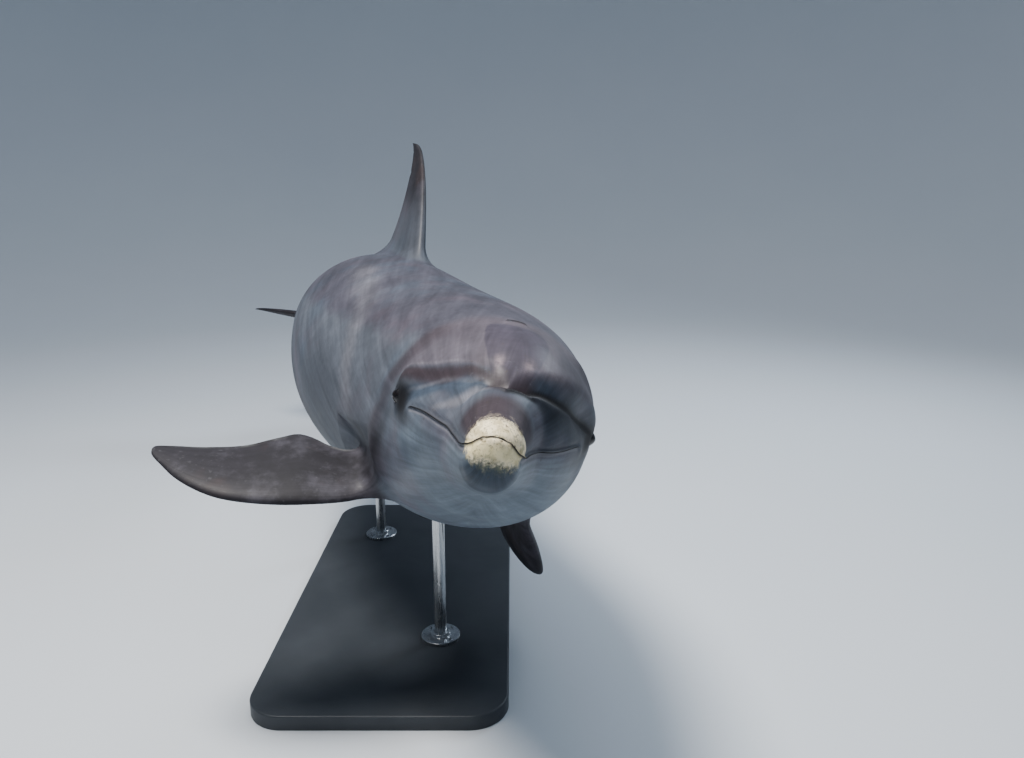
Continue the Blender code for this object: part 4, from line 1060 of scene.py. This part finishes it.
def makePad(end, tree):    # rubber pad with moulded grooves, its top shaped to the belly
    f = standForm
    low, high, foot = solidBox("stand_pad_" + end)
    radius, top, lip = (high.x - low.x) / 2, f["padHeight"] * (high.z - low.z), f["padLip"]
    wall = [(0, 0), (radius * 0.45, 0), (radius - f["padFoot"], 0), (radius, f["padFoot"])]
    for k in range(f["padGrooves"]):
        z, inner = 0.006 + f["grooveStep"] * k, radius - f["grooveDepth"]
        wall += [(radius, z), (inner, z + 0.0006), (inner, z + 0.0014), (radius, z + 0.002)]
    wall += [(radius, top - lip), (radius - 0.0004, top - 0.001), (radius - 0.0016, top)]
    wall += [(radius * u, top) for u in (0.88, 0.76, 0.64, 0.52, 0.4, 0.28, 0.16, 0.0)]
    item = turned(wall, foot)
    for vert in item.data.vertices:
        hit = tree.ray_cast(Vector((vert.co.x, vert.co.y, low.z + 0.001)), Vector((0, 0, 1)))[0]
        share = float(ramp(0.62, 1.0, (vert.co.z - low.z) / top))
        if hit and share > 0:
            vert.co.z += share * (hit.z - f["padClearance"] - (low.z + top))
    return finished(item, "standPad" + end.title(), "stand_pad_" + end, slot="stand_rubber")


standLook = {
    "paint": (colour(62, 66, 71), colour(70, 74, 79)), "fleck": colour(92, 96, 101),
    "steel": (colour(176, 178, 180), colour(206, 208, 210)),
    "rubber": (colour(26, 26, 27), colour(38, 38, 40)),
    "paintRoughness": (0.42, 0.54), "rubberRoughness": (0.62, 0.8),
    "steelRoughness": (0.2, 0.34), "smudges": 0.1,          # smudges make the steel rougher
}


def paintMaterial():
    f, n = standLook, Nodes("standPaint")
    tint = n.mix(n.fit(n.noise(7, 4), 0.3, 0.7), *f["paint"])
    n.set(Base_Color=n.mix(n.fit(n.noise(900, 2, 0.5), 0.62, 0.72), tint, f["fleck"]),
          Roughness=n.fit(n.noise(4.0, 5), 0.3, 0.7, f["paintRoughness"]),
          Normal=n.bump(n.noise(420, 3), 0.00025))
    return n.material


def steelMaterial():
    f, n = standLook, Nodes("brushedSteel")
    brushed, smudge = n.noise(1.0, 4, 0.6, n.moved((700, 700, 9))), n.noise(22, 4)
    rough = n.fit(brushed, 0.2, 0.8, f["steelRoughness"]) + n.fit(smudge, 0.4, 0.8, (0.0, f["smudges"]))
    n.set(Base_Color=n.mix(brushed, *f["steel"]), Metallic=1.0, Roughness=rough,
          Normal=n.bump(brushed, 0.00004))
    return n.material


def rubberMaterial():
    f, n = standLook, Nodes("padRubber")
    n.set(Base_Color=n.mix(n.noise(60, 4), *f["rubber"]), Normal=n.bump(n.noise(1400, 2), 0.0002),
          Roughness=n.fit(n.noise(30, 3), 0.3, 0.7, f["rubberRoughness"]))
    return n.material


skinTree = BVHTree.FromPolygons([v.co for v in skin.data.vertices],
                                [tuple(p.vertices) for p in skin.data.polygons])
steel, rubber = steelMaterial(), rubberMaterial()
give(makeBase(), paintMaterial())
for end in ("front", "rear"):
    give(makeRod(end), steel)
    for piece in makeCollar(end):
        give(piece, steel)
    give(makePad(end, skinTree), rubber)
print("stand built")

cameraForm = {"place": (0.2564, -1.7919, 0.9969), "tilt": 76, "lens": 28.24, "nearest": 0.05}
studioForm = {
    "radius": 9.5, "height": 7.0, "sweep": 5.5, "steps": 32,
    "floor": (colour(206, 211, 217), colour(214, 218, 222)), "roughness": 0.85,
    "sky": (0.66, 0.8, 1.0, 1.0), "skyStrength": 0.26, "look": "AgX - Medium High Contrast",
    "lights": {          # place, aim, size, power and colour
        "keyLight": ((-0.6, -0.95, 3.2), (0.1, -0.4, 0.6), 0.9, 105, (1.0, 0.96, 0.91)),
        "rimLight": ((2.2, 1.8, 2.4), (0.0, 0.0, 0.6), 1.0, 30, (0.8, 0.9, 1.0)),
        "skyLight": ((0.0, 0.5, 6.0), (0.0, 0.5, 0.0), 6.0, 120, (0.93, 0.97, 1.0)),
    },
}


def makeCamera():
    f = cameraForm
    item = placed("camera", bpy.data.cameras.new("camera"))
    item.location = f["place"]
    item.rotation_euler = (math.radians(f["tilt"]), 0, 0)
    item.data.lens, item.data.clip_start = f["lens"], f["nearest"]
    bpy.context.scene.camera = item


def makeBackdrop():    # round floor that sweeps up into a wall
    f, n = studioForm, Nodes("studioPaper")
    middle = f["radius"] - f["sweep"]
    arc = [(k + 0.5) / f["steps"] * math.pi / 2 for k in range(f["steps"])]
    profile = [(0, 0), (middle * 0.5, 0), (middle, 0)]
    profile += [(middle + f["sweep"] * math.sin(a), f["sweep"] * (1 - math.cos(a))) for a in arc]
    profile += [(f["radius"], f["sweep"]), (f["radius"], f["height"])]
    item = turned(profile, (0, 0, 0))
    item.name = item.data.name = "backdrop"
    item.data.shade_smooth()
    n.set(Base_Color=n.mix(n.noise(0.6, 3), *f["floor"]), Roughness=f["roughness"])
    give(item, n.material)


def makeSky():
    world = bpy.data.worlds.new("studio")
    bpy.context.scene.world = world
    world.use_nodes = True
    sky = world.node_tree.nodes["Background"].inputs
    sky["Color"].default_value, sky["Strength"].default_value = studioForm["sky"], studioForm["skyStrength"]


def makeLight(name, place, aim, size, power, tint):    # soft round lamp
    lamp = bpy.data.lights.new(name, "AREA")
    lamp.shape, lamp.size, lamp.energy, lamp.color = "DISK", size, power, tint
    item = placed(name, lamp)
    item.location = place
    item.rotation_euler = (Vector(aim) - Vector(place)).to_track_quat("-Z", "Y").to_euler()


makeCamera()
makeBackdrop()
makeSky()
for name, light in studioForm["lights"].items():
    makeLight(name, *light)
bpy.context.scene.view_settings.look = studioForm["look"]
